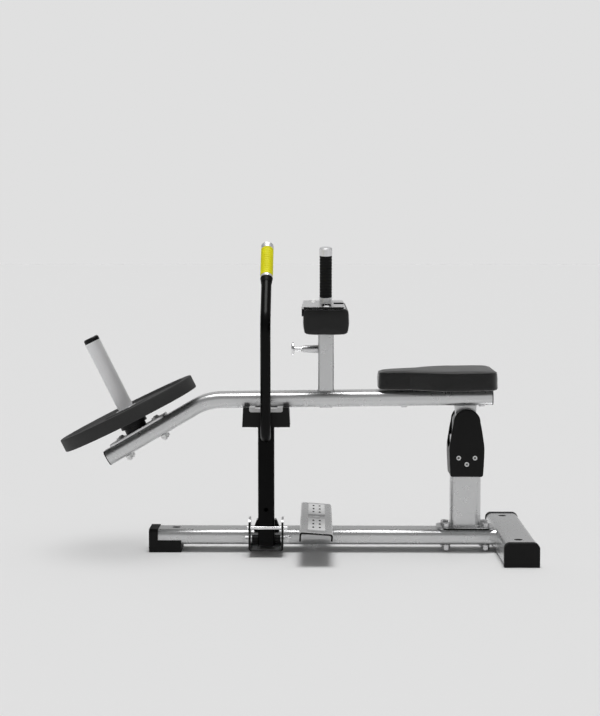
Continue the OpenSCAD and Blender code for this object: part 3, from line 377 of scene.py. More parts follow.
# Width in millimetres of the small rounding that each node's sharp edges get
NODE_BEVEL = {
    "front_foot": 2.2, "cross_foot_cap_left": 2.2, "cross_foot_cap_right": 2.2, "post_flange": 1.4,
    "catch_bracket": 0.8, "catch_bumper": 2.5, "saddle_block": 1.8, "saddle_liner": 0.8,
    "sleeve_plate": 1.2, "sleeve_hub": 1.5, "sleeve_cap": 0.9, "flange_bolts": 0.7,
    "flange_nuts": 0.7, "catch_axle": 1.2, "catch_axle_nut": 0.8, "catch_stop_rod": 0.6,
    "bumper_screws": 0.4, "sleeve_plate_bolts": 0.5, "seat_bolts": 0.5, "pad_bolts": 0.5,
    "saddle_screws": 0.4, "cover_screws": 0.4, "foot_plate_bolt": 0.6, "pull_pin": 0.7,
    "pin_barrel": 0.8, "hand_grip_core": 1.2, "tread_inserts": 0.5, "foot_plate_wedge": 1.0,
    "knee_post_plate": 0.8, "beam_end_caps": 0.8, "lever_bushes": 0.6, "pad_bracket": 0.9,
    "pivot_yoke": 1.0, "axle_retainers": 0.6, "foot_plate": 0.7,
}
BEVEL_ANGLE = math.radians(38)


def dress_nodes():
    """Gives every CAD node that stays its material and its rounded edges."""
    for look, names in NODE_LOOK.items():
        for name in names.split():
            node = NODES[name]
            node.data.materials.clear()
            node.data.materials.append(MAT[look])
    for name, width in NODE_BEVEL.items():
        node = NODES[name]
        for face in node.data.polygons:
            face.use_smooth = True
        weld = node.modifiers.new("join", "WELD")
        weld.merge_threshold = 0.000002
        bevel = node.modifiers.new("round_edges", "BEVEL")
        bevel.width = width * MM
        bevel.segments = 2
        bevel.limit_method = "ANGLE"
        bevel.angle_limit = BEVEL_ANGLE
        bevel.use_clamp_overlap = True
        normals = node.modifiers.new("even_shading", "WEIGHTED_NORMAL")
        normals.keep_sharp = False


dress_nodes()

# ---------------------------------------------------------------- mesh helpers


def mesh_object(name, points, faces, look, smooth=True):
    """New object from points and faces, in one of MAT's materials."""
    data = bpy.data.meshes.new(name)
    data.from_pydata([tuple(p) for p in points], [], faces)
    data.materials.append(MAT[look])
    for face in data.polygons:
        face.use_smooth = smooth
    made = bpy.data.objects.new(name, data)
    scene.collection.objects.link(made)
    return made


def recalculate(obj):
    """Turns the faces outward."""
    bm = bmesh.new()
    bm.from_mesh(obj.data)
    bmesh.ops.recalc_face_normals(bm, faces=bm.faces)
    bm.to_mesh(obj.data)
    bm.free()


def rounded_path(corners, closed=True, steps=5):
    """Corners are (x, y, radius); returns the outline with each corner turned into an arc."""
    out = []
    count = len(corners)
    for i, (x, y, r) in enumerate(corners):
        here = Vector((x, y))
        if r <= 0 or (not closed and i in (0, count - 1)):
            out.append(here)
            continue
        before = Vector(corners[i - 1][:2])
        after = Vector(corners[(i + 1) % count][:2])
        a = (before - here).normalized()
        b = (after - here).normalized()
        half = a.angle(b) / 2
        reach = min(r / math.tan(half), 0.49 * (before - here).length, 0.49 * (after - here).length)
        real = reach * math.tan(half)
        centre = here + (a + b).normalized() * (real / math.sin(half))
        start = here + a * reach - centre
        end = here + b * reach - centre
        turn = start.angle_signed(end)
        for k in range(steps + 1):
            spin = Matrix.Rotation(-turn * k / steps, 2)
            out.append(centre + spin @ start)
    return out


def lathe(name, profile, place, look, sides=96, steps=5):
    """Turns a closed profile of (r, z, corner radius) in millimetres about the place's z axis."""
    outline = rounded_path(profile, True, steps)
    count = len(outline)
    points = []
    for k in range(sides):
        a = 2 * math.pi * k / sides
        for p in outline:
            points.append(place @ Vector((p.x * MM * math.cos(a), p.x * MM * math.sin(a), p.y * MM)))
    faces = []
    for k in range(sides):
        n = (k + 1) % sides
        for i in range(count):
            j = (i + 1) % count
            faces.append((k * count + i, n * count + i, n * count + j, k * count + j))
    made = mesh_object(name, points, faces, look)
    bm = bmesh.new()
    bm.from_mesh(made.data)
    bmesh.ops.remove_doubles(bm, verts=bm.verts, dist=1e-7)
    bmesh.ops.recalc_face_normals(bm, faces=bm.faces)
    bm.to_mesh(made.data)
    bm.free()
    return made


def sweep(name, path, radius, look, sides=12, closed=False):
    """Round bar along a list of points; radius is one number or one for each point."""
    count = len(path)
    radii = radius if isinstance(radius, (list, tuple)) else [radius] * count
    tangents = []
    for i in range(count):
        if closed:
            t = path[(i + 1) % count] - path[i - 1]
        else:
            t = path[min(i + 1, count - 1)] - path[max(i - 1, 0)]
        tangents.append(t.normalized())
    guide = Vector((0, 0, 1)) if abs(tangents[0].z) < 0.9 else Vector((1, 0, 0))
    normal = (guide - tangents[0] * guide.dot(tangents[0])).normalized()
    points = []
    for i in range(count):
        normal = (normal - tangents[i] * normal.dot(tangents[i])).normalized()
        side = tangents[i].cross(normal)
        for k in range(sides):
            a = 2 * math.pi * k / sides
            points.append(path[i] + (normal * math.cos(a) + side * math.sin(a)) * radii[i])
    faces = []
    for i in range(count if closed else count - 1):
        n = (i + 1) % count
        for k in range(sides):
            m = (k + 1) % sides
            faces.append((i * sides + k, i * sides + m, n * sides + m, n * sides + k))
    if not closed:
        faces.append(tuple(range(sides))[::-1])
        faces.append(tuple((count - 1) * sides + k for k in range(sides)))
    made = mesh_object(name, points, faces, look)
    recalculate(made)
    return made


def join(objects, name):
    """One object from several, in the first one's place."""
    bm = bmesh.new()
    for obj in objects:
        bm.from_mesh(obj.data)
    data = bpy.data.meshes.new(name)
    bm.to_mesh(data)
    bm.free()
    for slot in objects[0].data.materials:
        data.materials.append(slot)
    for face in data.polygons:
        face.use_smooth = True
    for obj in objects:
        bpy.data.objects.remove(obj)
    made = bpy.data.objects.new(name, data)
    scene.collection.objects.link(made)
    return made


def attach(obj, body, *nodes, slot):
    """Rides a piece on its body; it replaces the nodes named. The slot is not used."""
    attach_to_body(obj, body)
    if nodes:
        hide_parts(*nodes)


def bake_modifiers(obj):
    """Applies every modifier on an object by swapping in its evaluated mesh."""
    depsgraph = bpy.context.evaluated_depsgraph_get()
    depsgraph.update()
    data = bpy.data.meshes.new_from_object(obj.evaluated_get(depsgraph))
    obj.modifiers.clear()
    obj.data = data


def shade_by_angle(obj, degrees):
    """Smooth shading, apart from edges sharper than the angle."""
    for face in obj.data.polygons:
        face.use_smooth = True
    obj.data.set_sharp_from_angle(angle=math.radians(degrees))


# ---------------------------------------------------------------- places on the machine

SLEEVE_LEAN = math.radians(26.4)
ARM_SLOPE = math.radians(30.2)
BEAM_SLOPE = math.radians(0.74)
BEND = Vector((-0.272, 0, 0.478))
HALF_BEAM = 0.024
SLEEVE_S = 0.243
SEAT_GAP = 0.0045
PLATE_LIFT = 0.0444
HANDLE_X, HANDLE_FAR = -0.085, -0.150
HANDLE_LEAN = math.radians(43)
HANDLE_BEND, HANDLE_BEND_Z = 0.080, 0.700
PIVOT = Vector((0.542, 0, 0.408))


def turned_y(angle):
    """Turn about Y that lifts the X axis by the angle."""
    return Matrix.Rotation(-angle, 4, "Y")


ON_SLEEVE = Matrix.Translation((
    BEND.x - SLEEVE_S * math.cos(ARM_SLOPE) - HALF_BEAM * math.sin(ARM_SLOPE), 0,
    BEND.z - SLEEVE_S * math.sin(ARM_SLOPE) + HALF_BEAM * math.cos(ARM_SLOPE),
)) @ turned_y(SLEEVE_LEAN)
ON_PLATE = ON_SLEEVE @ Matrix.Translation((0, 0, PLATE_LIFT))
ON_RUN = Matrix.Translation(BEND) @ turned_y(BEAM_SLOPE)
ON_HANDLE = Matrix.Translation((
    HANDLE_X, HANDLE_FAR + HANDLE_BEND * (1 - math.cos(HANDLE_LEAN)),
    HANDLE_BEND_Z + HANDLE_BEND * math.sin(HANDLE_LEAN),
)) @ Matrix.Rotation(-HANDLE_LEAN, 4, "X")
ON_GRIP = Matrix.Translation((0.101, 0.200, 0.782)) @ Matrix.Rotation(math.radians(10), 4, "X")

# ---------------------------------------------------------------- weight plate and sleeve


def weight_plate():
    """Rubber disc with a raised rim and hub, and its steel bore ring."""
    r, t = 229.0, 41.0
    disc = lathe("plate_disc", [
        (34, 1, 0.8), (60, 0, 2), (r, 0, 3.2), (r, t, 3.2), (r - 25, t, 2.5), (r - 33, t - 8, 4),
        (r - 52, t - 9, 8), (96, t - 9, 8), (80, t - 8, 5), (70, t - 2, 4), (34, t - 2, 1.5),
    ], ON_PLATE, "plate", 160)
    attach(disc, "weight_plate", "plate_rubber", slot="plate_rubber")
    ring = lathe("plate_bore_ring", [
        (25.4, 0, 0.8), (34.2, 0, 0.8), (34.2, t - 1.4, 0.8), (25.4, t - 1.4, 1.0),
    ], ON_PLATE, "plated", 96, 3)
    attach(ring, "weight_plate", slot="plated_steel")


def ribbed_profile(bore, start, length, ribs, valley, crest, flat, rise, crest_round):
    """Section of a sleeve with rounded ribs, in millimetres, for lathe()."""
    pitch = length / ribs
    profile = [(bore, start, 0.2)]
    for i in range(ribs):
        z = start + i * pitch
        profile += [(valley, z + flat, 0.5), (crest, z + rise, crest_round),
                    (crest, z + pitch - rise, crest_round), (valley, z + pitch - flat, 0.5)]
    profile.append((bore, start + length, 0.2))
    return profile


def grips():
    """Ribbed rubber grips and their collars, on the lever's handle and on the thigh pads' plate."""
    hand, handle_len, cap_len, collar_len, flare_len = 112.0, 285.5, 19.0, 9.0, 20.0
    bar_r, bore, rim = 16.0, 16.02, 19.8
    start = handle_len - cap_len - hand
    low = start - collar_len
    grip = lathe("yellow_hand_grip", ribbed_profile(bar_r, 0, hand, 12, 18.6, 19.9, 0.5, 1.7, 1.2),
                 ON_HANDLE @ Matrix.Translation((0, 0, start * MM)), "yellow", 64, 3)
    attach(grip, "catch_lever", "handle_grip", slot="yellow_rubber")
    cap = lathe("handle_end_cap", [
        (0.01, handle_len - 12, 0), (16.1, handle_len - 12, 0), (16.1, handle_len - cap_len, 0.3),
        (rim, handle_len - cap_len, 0.8), (rim, handle_len - 2.5, 2.2), (17.0, handle_len, 1.5),
        (0.01, handle_len, 0),
    ], ON_HANDLE, "aluminium", 64, 4)
    attach(cap, "catch_lever", "handle_collars", slot="bright_aluminium")
    collar = lathe("handle_lower_collar", [
        (bore, low, 0.3), (19.0, low, 0.9), (19.0, start, 0.9), (bore, start, 0.3),
    ], ON_HANDLE, "aluminium", 64, 3)
    attach(collar, "catch_lever", slot="bright_aluminium")
    flare = lathe("handle_flare", [
        (bore, low - flare_len, 0.2), (17.2, low - flare_len, 0.5), (18.2, low - flare_len * 0.45, 8),
        (rim, low - 0.3, 0.8), (bore, low - 0.3, 0.2),
    ], ON_HANDLE, "plastic", 64, 4)
    attach(flare, "catch_lever", slot="black_plastic")

    foot, length = 14.0, 137.5
    black = lathe("fixed_hand_grip", ribbed_profile(bar_r, foot, length, 14, 18.9, 20.1, 0.4, 1.8, 1.3),
                  ON_GRIP, "grip", 64, 3)
    attach(black, "thigh_carriage", "hand_grip", slot="grip_rubber")


def handle_bar():
    """The lever's bent tube, smooth, along the same line as the solid."""
    start_y, foot_z, low_bend, straight = -0.104, 0.372, 0.040, 0.273
    knee_z = foot_z + low_bend
    path = [Vector((HANDLE_X, start_y, foot_z))]
    for k in range(13):
        a = math.radians(-90 - 7.5 * k)
        path.append(Vector((HANDLE_X, HANDLE_FAR + low_bend * (1 + math.cos(a)),
                            knee_z + low_bend * math.sin(a))))
    for k in range(1, 12):
        path.append(Vector((HANDLE_X, HANDLE_FAR, knee_z + (HANDLE_BEND_Z - knee_z) * k / 12)))
    for k in range(16):
        a = math.radians(180) - HANDLE_LEAN * k / 15
        path.append(Vector((HANDLE_X, HANDLE_FAR + HANDLE_BEND * (1 + math.cos(a)),
                            HANDLE_BEND_Z + HANDLE_BEND * math.sin(a))))
    for k in range(1, 9):
        path.append(ON_HANDLE @ Vector((0, 0, straight * k / 8)))
    bar = sweep("handle_bar", path, 0.016, "gloss", 48)
    attach(bar, "catch_lever", "handle_tube", slot="black_paint")


# ---------------------------------------------------------------- pivot cover


def cover_outline():
    """A cover half's outline about the pivot, in millimetres: bulging sides under a round head."""
    foot_z, wide_z, head_z = -167.0, -74.0, 4.0
    foot_half, bulge, head_r, foot_round = 51.0, 4.0, 42.0, 7
    outline = [Vector((-foot_half, foot_z))]
    for k in range(1, 13):
        z = foot_z + (head_z - foot_z) * k / 12
        if z < wide_z:
            w = foot_half + bulge * math.sin(math.pi / 2 * (z - foot_z) / (wide_z - foot_z))
        else:
            w = head_r + (foot_half + bulge - head_r) * ((head_z - z) / (head_z - wide_z)) ** 0.85
        outline.append(Vector((-w, z)))
    for k in range(1, 24):
        a = math.pi - math.pi * k / 24
        outline.append(Vector((head_r * math.cos(a), head_z + head_r * math.sin(a))))
    outline += [Vector((-p.x, p.y)) for p in outline[12::-1]]
    last = len(outline) - 1
    return rounded_path([(p.x, p.y, foot_round if i in (0, last) else 0)
                         for i, p in enumerate(outline)], True, 6)


def screw_seats(side, spots):
    """Tapered plugs that cut the screws' sunk seats into a cover half."""
    turn = Matrix.Rotation(math.radians(-90 * side), 4, "X")
    plugs = []
    for x, z in spots:
        place = Matrix.Translation(PIVOT + Vector((x, 58.0 * side, z)) * MM)
        plugs.append(lathe("cut", [
            (0.01, -3.0, 0), (7.1, -3.0, 0), (7.9, 0.2, 0), (7.9, 4, 0), (0.01, 4, 0),
        ], place @ turn, "plastic", 40, 1))
    return join(plugs, "cutters")


def pivot_covers():
    """Two moulded shells with rounded faces, gently bulging sides and sunk screw seats."""
    inside, outside, deep, round_r = 49.0, 53.0, 0.3, 5.0
    slot_z, blend = -66.0, 12.0
    spots = [(-26, -107), (25, -107), (-0.5, -127)]
    rounded = cover_outline()
    count = len(rounded)
    normals = []
    for i in range(count):
        t = (rounded[(i + 1) % count] - rounded[i - 1]).normalized()
        normals.append(Vector((-t.y, t.x)))
    if (rounded[0] - Vector((0, -60))).dot(normals[0]) < 0:
        normals = [-n for n in normals]
    # How far in the rim reaches: to the other half below the slot, and only round the edge above it
    rims = []
    for p in rounded:
        share = min(1.0, max(0.0, (slot_z - p.y) / blend))
        rims.append(deep * share + inside * (1 - share))

    def ring(depths, inset):
        return [Vector((p.x - n.x * inset, d, p.y - n.y * inset))
                for p, n, d in zip(rounded, normals, depths)]

    rows = [ring(rims, 2), ring(rims, 0), ring([max(d + 0.5, 52.5) for d in rims], 0)]
    for k in range(1, 7):
        a = math.pi / 2 * k / 6
        rows.append(ring([outside + round_r * math.sin(a)] * count, round_r * (1 - math.cos(a))))
    faces = []
    for i in range(len(rows) - 1):
        for k in range(count):
            n = (k + 1) % count
            faces.append((i * count + k, i * count + n, (i + 1) * count + n, (i + 1) * count + k))
    last = (len(rows) - 1) * count
    faces.append(tuple(last + k for k in range(count)))
    for side, label in ((-1, "near"), (1, "far")):
        points = [Vector((v.x, v.y * side, v.z)) * MM + PIVOT for row in rows for v in row]
        shell = mesh_object("cover_shell_" + label, points, faces, "plastic")
        recalculate(shell)
        tool = screw_seats(side, spots)
        cut = shell.modifiers.new("screw_seats", "BOOLEAN")
        cut.operation = "DIFFERENCE"
        cut.object = tool
        cut.solver = "EXACT"
        bake_modifiers(shell)
        bpy.data.objects.remove(tool)
        shade_by_angle(shell, 35)
        attach(shell, "frame", "pivot_cover_" + label, slot="black_plastic")


# ---------------------------------------------------------------- cushions


def offset_outline(points, inset):
    """Moves a closed counter-clockwise outline inwards along its normals."""
    count = len(points)
    out = []
    for i in range(count):
        t = (points[(i + 1) % count] - points[i - 1]).normalized()
        out.append(points[i] + Vector((-t.y, t.x)) * inset)
    return out


def resampled(points, step):
    """Evenly spaced points round a closed outline."""
    count = len(points)
    lengths = [(points[(i + 1) % count] - points[i]).length for i in range(count)]
    total = sum(lengths)
    wanted = max(12, round(total / step))
    out = []
    i, done = 0, 0.0
    for k in range(wanted):
        target = total * k / wanted
        while done + lengths[i] < target:
            done += lengths[i]
            i += 1
        share = (target - done) / lengths[i] if lengths[i] else 0
        out.append(points[i].lerp(points[(i + 1) % count], share))
    return out


def cushion_mesh(name, outline, levels, to_world):
    """Closed mesh from a stack of outlines; each level is (height, inset, share of full size)."""
    points, faces = [], []
    count = len(outline)
    middle = sum(outline, Vector((0, 0))) / count
    for height, inset, share in levels:
        for p in offset_outline(outline, inset):
            q = middle.lerp(p, share)
            points.append(to_world(q.x, q.y, height))
    for i in range(len(levels) - 1):
        for k in range(count):
            n = (k + 1) % count
            faces.append((i * count + k, i * count + n, (i + 1) * count + n, (i + 1) * count + k))
    faces.append(tuple(range(count))[::-1])
    last = (len(levels) - 1) * count
    faces.append(tuple(last + k for k in range(count)))
    made = mesh_object(name, points, faces, "vinyl")
    recalculate(made)
    return made


def inflate(obj, held, voxel, pressure, cap):
    """Remeshes a cushion and swells its free skin with cloth, by cap at most.

    held(point) is true for what rests on the board and stays put.
    """
    remesh = obj.modifiers.new("even_mesh", "REMESH")
    remesh.mode = "VOXEL"
    remesh.voxel_size = voxel
    bake_modifiers(obj)
    for face in obj.data.polygons:
        face.use_smooth = True
    rest = np.array([v.co for v in obj.data.vertices], float)
    group = obj.vertex_groups.new(name="held")
    group.add([v.index for v in obj.data.vertices if held(v.co)], 1.0, "REPLACE")
    cloth = obj.modifiers.new("cloth", "CLOTH")
    cloth.settings.quality = 6
    cloth.settings.mass = 0.3
    cloth.settings.tension_stiffness = 18
    cloth.settings.compression_stiffness = 14
    cloth.settings.shear_stiffness = 9
    cloth.settings.bending_stiffness = 3
    cloth.settings.use_pressure = True
    cloth.settings.uniform_pressure_force = pressure
    cloth.settings.vertex_group_mass = "held"
    cloth.settings.effector_weights.gravity = 0
    cloth.collision_settings.use_collision = False
    for step in range(1, 21):
        scene.frame_set(step)
    depsgraph = bpy.context.evaluated_depsgraph_get()
    swollen = obj.evaluated_get(depsgraph).to_mesh()
    moved = np.array([v.co for v in swollen.vertices], float)
    obj.modifiers.clear()
    shift = moved - rest
    size = np.linalg.norm(shift, axis=1)
    shift *= (cap * np.tanh(size / cap) / np.maximum(size, 1e-9))[:, None]
    obj.data.vertices.foreach_set("co", (rest + shift).ravel())
    obj.data.update()
    scene.frame_set(1)
    smooth = obj.modifiers.new("relax", "SMOOTH")
    smooth.factor = 0.5
    smooth.iterations = 3
    finer = obj.modifiers.new("finer", "SUBSURF")
    finer.levels = 1
    finer.render_levels = 1
    bake_modifiers(obj)
    for face in obj.data.polygons:
        face.use_smooth = True


def surface_of(obj):
    """Search tree over an object's faces."""
    bm = bmesh.new()
    bm.from_mesh(obj.data)
    tree = BVHTree.FromBMesh(bm)
    bm.free()
    return tree


def on_surface(tree, point, lift):
    """The nearest point of the skin, lifted along its normal, and that normal."""
    place, normal, _, _ = tree.find_nearest(point)
    return place + normal * lift, normal


def piping(name, tree, path, radius):
    """Welt cord half sunk in the skin along a closed path."""
    line = [on_surface(tree, p, radius * 0.35)[0] for p in path]
    for _ in range(2):
        line = [(line[i - 1] + line[i] * 2 + line[(i + 1) % len(line)]) / 4 for i in range(len(line))]
    return sweep(name, line, radius, "vinyl", 10, closed=True)


def stitches(name, tree, path, pitch, length, radius):
    """Row of thread stitches lying on the skin along a closed path."""
    total = sum((path[(i + 1) % len(path)] - path[i]).length for i in range(len(path)))
    spots = []
    i, done, target = 0, 0.0, 0.0
    while target < total and i < len(path):
        step = (path[(i + 1) % len(path)] - path[i]).length
        if done + step >= target:
            share = (target - done) / step
            spots.append((path[i].lerp(path[(i + 1) % len(path)], share),
                          (path[(i + 1) % len(path)] - path[i]).normalized()))
            target += pitch
        else:
            done += step
            i += 1
    points, faces = [], []
    for place, along in spots:
        centre, normal = on_surface(tree, place, radius * 0.2)
        along = (along - normal * along.dot(normal)).normalized()
        side = normal.cross(along)
        base = len(points)
        for share, width in ((-0.5, 0.35), (-0.38, 0.9), (0, 1.0), (0.38, 0.9), (0.5, 0.35)):
            for k in range(6):
                a = 2 * math.pi * k / 6
                points.append(centre + along * (share * length)
                              + (side * math.cos(a) + normal * math.sin(a)) * radius * width)
        for ring in range(base, base + 24, 6):
            for k in range(6):
                n = (k + 1) % 6
                faces.append((ring + k, ring + n, ring + 6 + n, ring + 6 + k))
        faces.append(tuple(base + k for k in range(6))[::-1])
        faces.append(tuple(base + 24 + k for k in range(6)))
    made = mesh_object(name, points, faces, "thread")
    recalculate(made)
    return made


def seat():
    """Seat cushion: flat crowned top, upright sides and a narrow nose that dips a little."""
    x0, length, back, nose = 264.0, 368.0, 280.0, 94.0
    x1, waist, wide = x0 + length, x0 + 95, x0 + 190
    waist_half = nose / 2 + 28
    dip, crown, top = 2.6, 2.6, 54
    on_seat = ON_RUN @ Matrix.Translation((-BEND.x, 0, HALF_BEAM + SEAT_GAP))
    to_seat = on_seat.inverted()
    corners = [
        (x0, -nose / 2, 22), (waist, -waist_half, 110), (wide, -back / 2, 110), (x1, -back / 2, 34),
        (x1, back / 2, 34), (wide, back / 2, 110), (waist, waist_half, 110), (x0, nose / 2, 22),
    ]
    outline = resampled(rounded_path(corners, True, 10), 6.0)

    def world(x, y, h):
        along = min(1.0, max(0.0, (x - x0) / length))
        rise = -dip * max(0.0, 1 - (x - x0) / 220) * h / 60
        if h > top:
            across = min(1.0, abs(y) / (back / 2))
            rise += crown * (1 - across ** 2) * math.sin(math.pi * along) - 0.3
        return on_seat @ Vector((x * MM, y * MM, (h + rise) * MM))

    levels = [
        (0.5, 12, 0.6), (0.4, 10, 1), (0.5, 4.5, 1), (1.6, 2.4, 1), (4.5, 1.3, 1), (10, 0.9, 1),
        (20, 0.8, 1), (33, 0.7, 1), (45, 0.8, 1), (52, 1.2, 1), (55.6, 2.4, 1), (57.8, 4.8, 1),
        (58.8, 8.5, 1), (59.2, 12, 1), (59.3, 12, 0.8), (59.3, 12, 0.5), (59.3, 12, 0.2),
    ]
    cushion = cushion_mesh("seat_cushion", outline, levels, world)
    inflate(cushion, lambda p: (to_seat @ p).z < 0.008, 0.0045, 2.6, 0.0020)
    tree = surface_of(cushion)
    attach(cushion, "lift_arm", "seat_pad", slot="vinyl")
    seam = [world(p.x, p.y, 56.4) for p in offset_outline(outline, 3.0)]
    cord = piping("seat_piping", tree, seam, 0.0017)
    attach(cord, "lift_arm", slot="vinyl")
    for tag, height in (("", 50.5), ("lower_", 8.5)):
        row = [world(p.x, p.y, height) for p in offset_outline(outline, 1.0)]
        thread = stitches(f"seat_{tag}stitches", tree, row, 0.0062, 0.0040, 0.00055)
        attach(thread, "lift_arm", slot="vinyl")


def thigh_cushions():
    """Thigh pads: barrel-sided blocks with a crowned underside, sewn at their end panels."""
    for side, node in ((-1, "thigh_pad_left"), (1, "thigh_pad_right")):
        low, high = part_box(node)
        wide, tall = (high.x - low.x) / MM, (high.z - low.z) / MM
        deep = (high.y - low.y) / MM
        mid_x, base = (low.x + high.x) / 2, low.z
        y_start = low.y if side < 0 else high.y
        half = wide / 2
        corners = [
            (-half + 2.5, 2.2, 9), (-half * 0.35, 0.4, 60), (half * 0.35, 0.4, 60), (half - 3.0, 2.2, 9),
            (half + 0.5, tall * 0.45, 90), (half - 2.0, tall - 0.3, 6), (-half + 1.2, tall - 0.3, 6),
            (-half, tall * 0.45, 90),
        ]
        outline = resampled(rounded_path(corners, True, 6), 5.0)

        def world(x, z, depth, mid_x=mid_x, base=base, start=y_start, side=side):
            return Vector((mid_x + x * MM, start - side * depth * MM, base + z * MM))

        face = [(1.2, 11, 0.3), (1.0, 11, 0.8), (1.0, 8.5, 1), (1.6, 4.6, 1), (3.0, 2.2, 1),
                (5.4, 1.0, 1), (9.5, 0.6, 1), (30, 0.4, 1)]
        levels = face + [(deep - d, inset, share) for d, inset, share in reversed(face)]
        label = "left" if side < 0 else "right"
        cushion = cushion_mesh("thigh_cushion_" + label, outline, levels, world)
        top = high.z
        inflate(cushion, lambda p, top=top: p.z > top - 0.006, 0.004, 2.4, 0.0016)
        tree = surface_of(cushion)
        attach(cushion, "thigh_carriage", node, slot="vinyl")
        for tag, depth, row_depth in (("outer", 3.0, 8.5), ("inner", deep - 3.0, deep - 8.5)):
            seam = [world(p.x, p.y, depth) for p in offset_outline(outline, 2.6)]
            cord = piping(f"thigh_piping_{label}_{tag}", tree, seam, 0.0015)
            attach(cord, "thigh_carriage", slot="vinyl")
            row = [world(p.x, p.y, row_depth) for p in outline]
            thread = stitches(f"thigh_stitches_{label}_{tag}", tree, row, 0.0060, 0.0038, 0.0005)
            attach(thread, "thigh_carriage", slot="vinyl")


# ---------------------------------------------------------------- welds and small parts


def bead(name, path, radius, body, look="weld", slot="silver_paint"):
    """Weld bead: a rippled fillet along a closed path."""
    random.seed(name)
    fine = []
    count = len(path)
    for i in range(count):
        a, b = path[i], path[(i + 1) % count]
        steps = max(1, round((b - a).length / 0.0011))
        fine += [a.lerp(b, k / steps) for k in range(steps)]
    radii = []
    for i in range(len(fine)):
        ripple = 0.86 + 0.14 * math.cos(2 * math.pi * i / 3.6)
        radii.append(radius * ripple * random.uniform(0.95, 1.05))
    made = sweep(name, fine, radii, look, 8, closed=True)
    attach(made, body, slot=slot)


def oval(half_x, half_y, corner, centre, z_of):
    """Rounded rectangle in plan as world points; z_of(x) gives its height."""
    corners = [(-half_x, -half_y, corner), (half_x, -half_y, corner),
               (half_x, half_y, corner), (-half_x, half_y, corner)]
    return [Vector((centre.x + p.x * MM, centre.y + p.y * MM, z_of(centre.x + p.x * MM)))
            for p in rounded_path(corners, True, 6)]


def run_top(x):
    """Height of the long run's top face at X."""
    return BEND.z + (x - BEND.x) * math.tan(BEAM_SLOPE) + HALF_BEAM / math.cos(BEAM_SLOPE)


def welds():
    """Weld beads where the painted tubes and plates meet."""
    knee = Vector((0.101, 0, 0))
    bead("weld_knee_post", oval(25.4, 25.4, 8, knee, run_top), 0.0024, "lift_arm")
    flange_top = 0.0792
    bead("weld_rear_post", oval(48.9, 25.4, 19, PIVOT, lambda x: flange_top), 0.0026, "frame")
    neck = [(-37.2, -24.4), (30.8, -24.4), (30.8, 24.4), (-37.2, 24.4)]
    under = [Vector((PIVOT.x + x * MM, y * MM, run_top(PIVOT.x + x * MM) - 2 * HALF_BEAM - 0.0002))
             for x, y in neck]
    bead("weld_hub_neck", under, 0.0024, "lift_arm")
    black = {"body": "catch_lever", "look": "black", "slot": "black_paint"}
    foot_r, foot_y, foot_z = 16.4 * MM, -0.1072, 0.372
    turns = [2 * math.pi * k / 40 for k in range(40)]
    foot = [Vector((HANDLE_X + foot_r * math.cos(a), foot_y, foot_z + foot_r * math.sin(a))) for a in turns]
    bead("weld_handle_foot", foot, 0.0020, **black)
    lever, lever_top = Vector((HANDLE_X, -0.082, 0)), 0.4028
    bead("weld_lever_top", oval(25.2, 25.2, 4, lever, lambda x: lever_top), 0.0018, **black)


def tread_studs():
    """Small dark studs that stand in the tread inserts' dimples, so that the dimples show as dark dots."""
    studs = []
    plate = Matrix.Translation((0.0715, 0, 0.103)) @ Matrix.Rotation(math.radians(4), 4, "Y")
    for side in (-1, 1):
        for x in (-10, 10):
            for row in (-1, 0, 1):
                place = plate @ Matrix.Translation((x * MM, (side * 138 + row * 60) * MM, 0))
                studs.append(lathe("stud", [
                    (0.01, 1.5, 0), (3.95, 1.5, 0), (3.95, 2.9, 0.4), (2.9, 3.1, 0.3), (2.6, 5.6, 1.2),
                    (0.01, 6.0, 0),
                ], place, "foot", 24, 3))
    attach(join(studs, "tread_studs"), "frame", slot="foot_rubber")


weight_plate()
grips()
handle_bar()
pivot_covers()
seat()
thigh_cushions()
welds()
tread_studs()

# ---------------------------------------------------------------- stage and light

FLOOR_COLOUR = 0.80
HALF_FLOOR = 60.0
BACKDROP = 0.745
SKY = 0.435
SUN = 2.05
LOW_SHARE = 0.80
SOFT_SUN, FLOOR_SUN = 38, 24

# What stands low and keeps most of the overhead light off the floor, as under a very large soft box
LOW_PARTS = ("base_beam front_foot rear_cross_foot cross_foot_cap_left cross_foot_cap_right foot_plate "
             "foot_plate_wedge catch_bracket lever_post post_flange flange_bolts flange_nuts")


def pale_floor():
    """Large matt floor; returns it."""
    made, g, shader = material("pale_floor", specular=0.1)
    fleck = g.noise(3.0, 4.0)
    shader.inputs["Base Color"].default_value = (*grey(FLOOR_COLOUR), 1)
    g.link(g.remap(fleck, 0.85, 0.9), shader.inputs["Roughness"])
    g.link(g.bump(fleck, 0.01, 0.001), shader.inputs["Normal"])
    MAT["floor"] = made
    size = HALF_FLOOR
    corners = [(-size, -size, 0), (size, -size, 0), (size, size, 0), (-size, size, 0)]
    plane = mesh_object("floor", corners, [(0, 1, 2, 3)], "floor", False)
    return plane


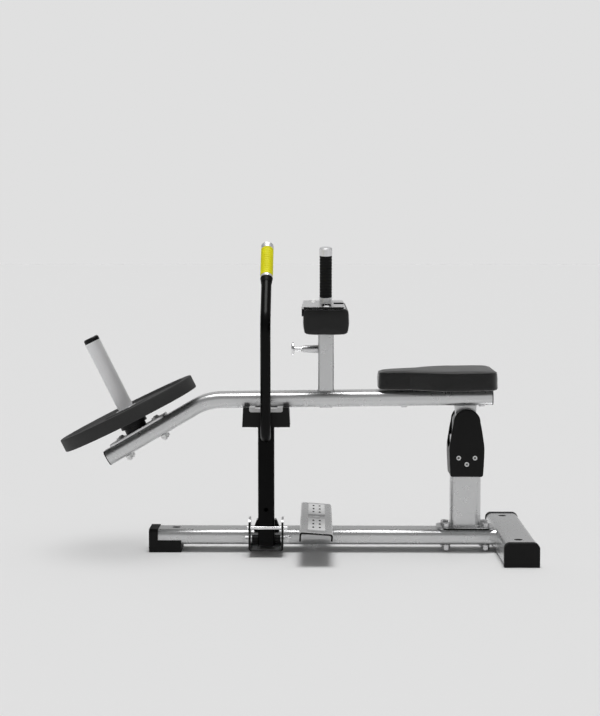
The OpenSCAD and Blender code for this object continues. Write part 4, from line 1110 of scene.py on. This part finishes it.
def studio_world():
    """Bright overhead and low down all round, dimmer between, with a dark strip at each side."""
    studio = bpy.data.worlds.new("studio")
    scene.world = studio
    studio.use_nodes = True
    w = Graph(studio.node_tree)
    parts = w.add("ShaderNodeSeparateXYZ")
    w.link(w.add("ShaderNodeTexCoord").outputs["Generated"], parts.inputs[0])

    def multiplied(a, b):
        node = w.add("ShaderNodeMix", data_type="RGBA", blend_type="MULTIPLY")
        node.inputs[0].default_value = 1.0
        w.link(a, node.inputs[6])
        w.link(b, node.inputs[7])
        return node.outputs[2]

    def levels(fac, *stops):
        return w.ramp(fac, [(place, grey(value)) for place, value in stops])

    up = levels(parts.outputs["Z"], (0.0, 1.20 * SKY), (0.22, 1.10 * SKY), (0.45, 0.60 * SKY),
                (0.75, 0.65 * SKY), (1.0, SKY))
    front = levels(w.math("MULTIPLY", parts.outputs["Y"], -1.0), (0.0, 1.0), (0.5, 0.95), (0.9, 0.86))
    sides = levels(w.math("ABSOLUTE", parts.outputs["X"]), (0.0, 1.0), (0.64, 1.0), (0.84, 0.34),
                   (1.0, 0.16))
    lit = multiplied(multiplied(up, front), sides)
    seen = w.add("ShaderNodeLightPath").outputs["Is Camera Ray"]
    background = studio.node_tree.nodes["Background"]
    w.link(w.mix(seen, lit, grey(BACKDROP)), background.inputs["Color"])
    background.inputs["Strength"].default_value = 1.0


def light_group(name, objects, state="INCLUDE"):
    """Collection that a light uses to say what it lights or what blocks it."""
    group = bpy.data.collections.new(name)
    for obj in objects:
        group.objects.link(obj)
    for entry in group.collection_objects:
        entry.light_linking.link_state = state
    return group


def overhead(name, energy, angle, lit=None, blocked_by=None):
    """Soft light from almost straight above; lit and blocked_by are light groups."""
    light = bpy.data.objects.new(name, bpy.data.lights.new(name, "SUN"))
    light.data.energy = energy
    light.data.angle = math.radians(angle)
    light.rotation_euler = (math.radians(-1), math.radians(1), 0)
    light.light_linking.receiver_collection = lit
    light.light_linking.blocker_collection = blocked_by
    scene.collection.objects.link(light)


floor = pale_floor()
studio_world()
overhead("overhead", SUN * (1 - LOW_SHARE), SOFT_SUN)
overhead("overhead_floor", SUN * LOW_SHARE, FLOOR_SUN, light_group("lit_floor", [floor]),
         light_group("low_parts", [NODES[name] for name in LOW_PARTS.split()]))
overhead("overhead_machine", SUN * LOW_SHARE, SOFT_SUN, light_group("not_the_floor", [floor], "EXCLUDE"))
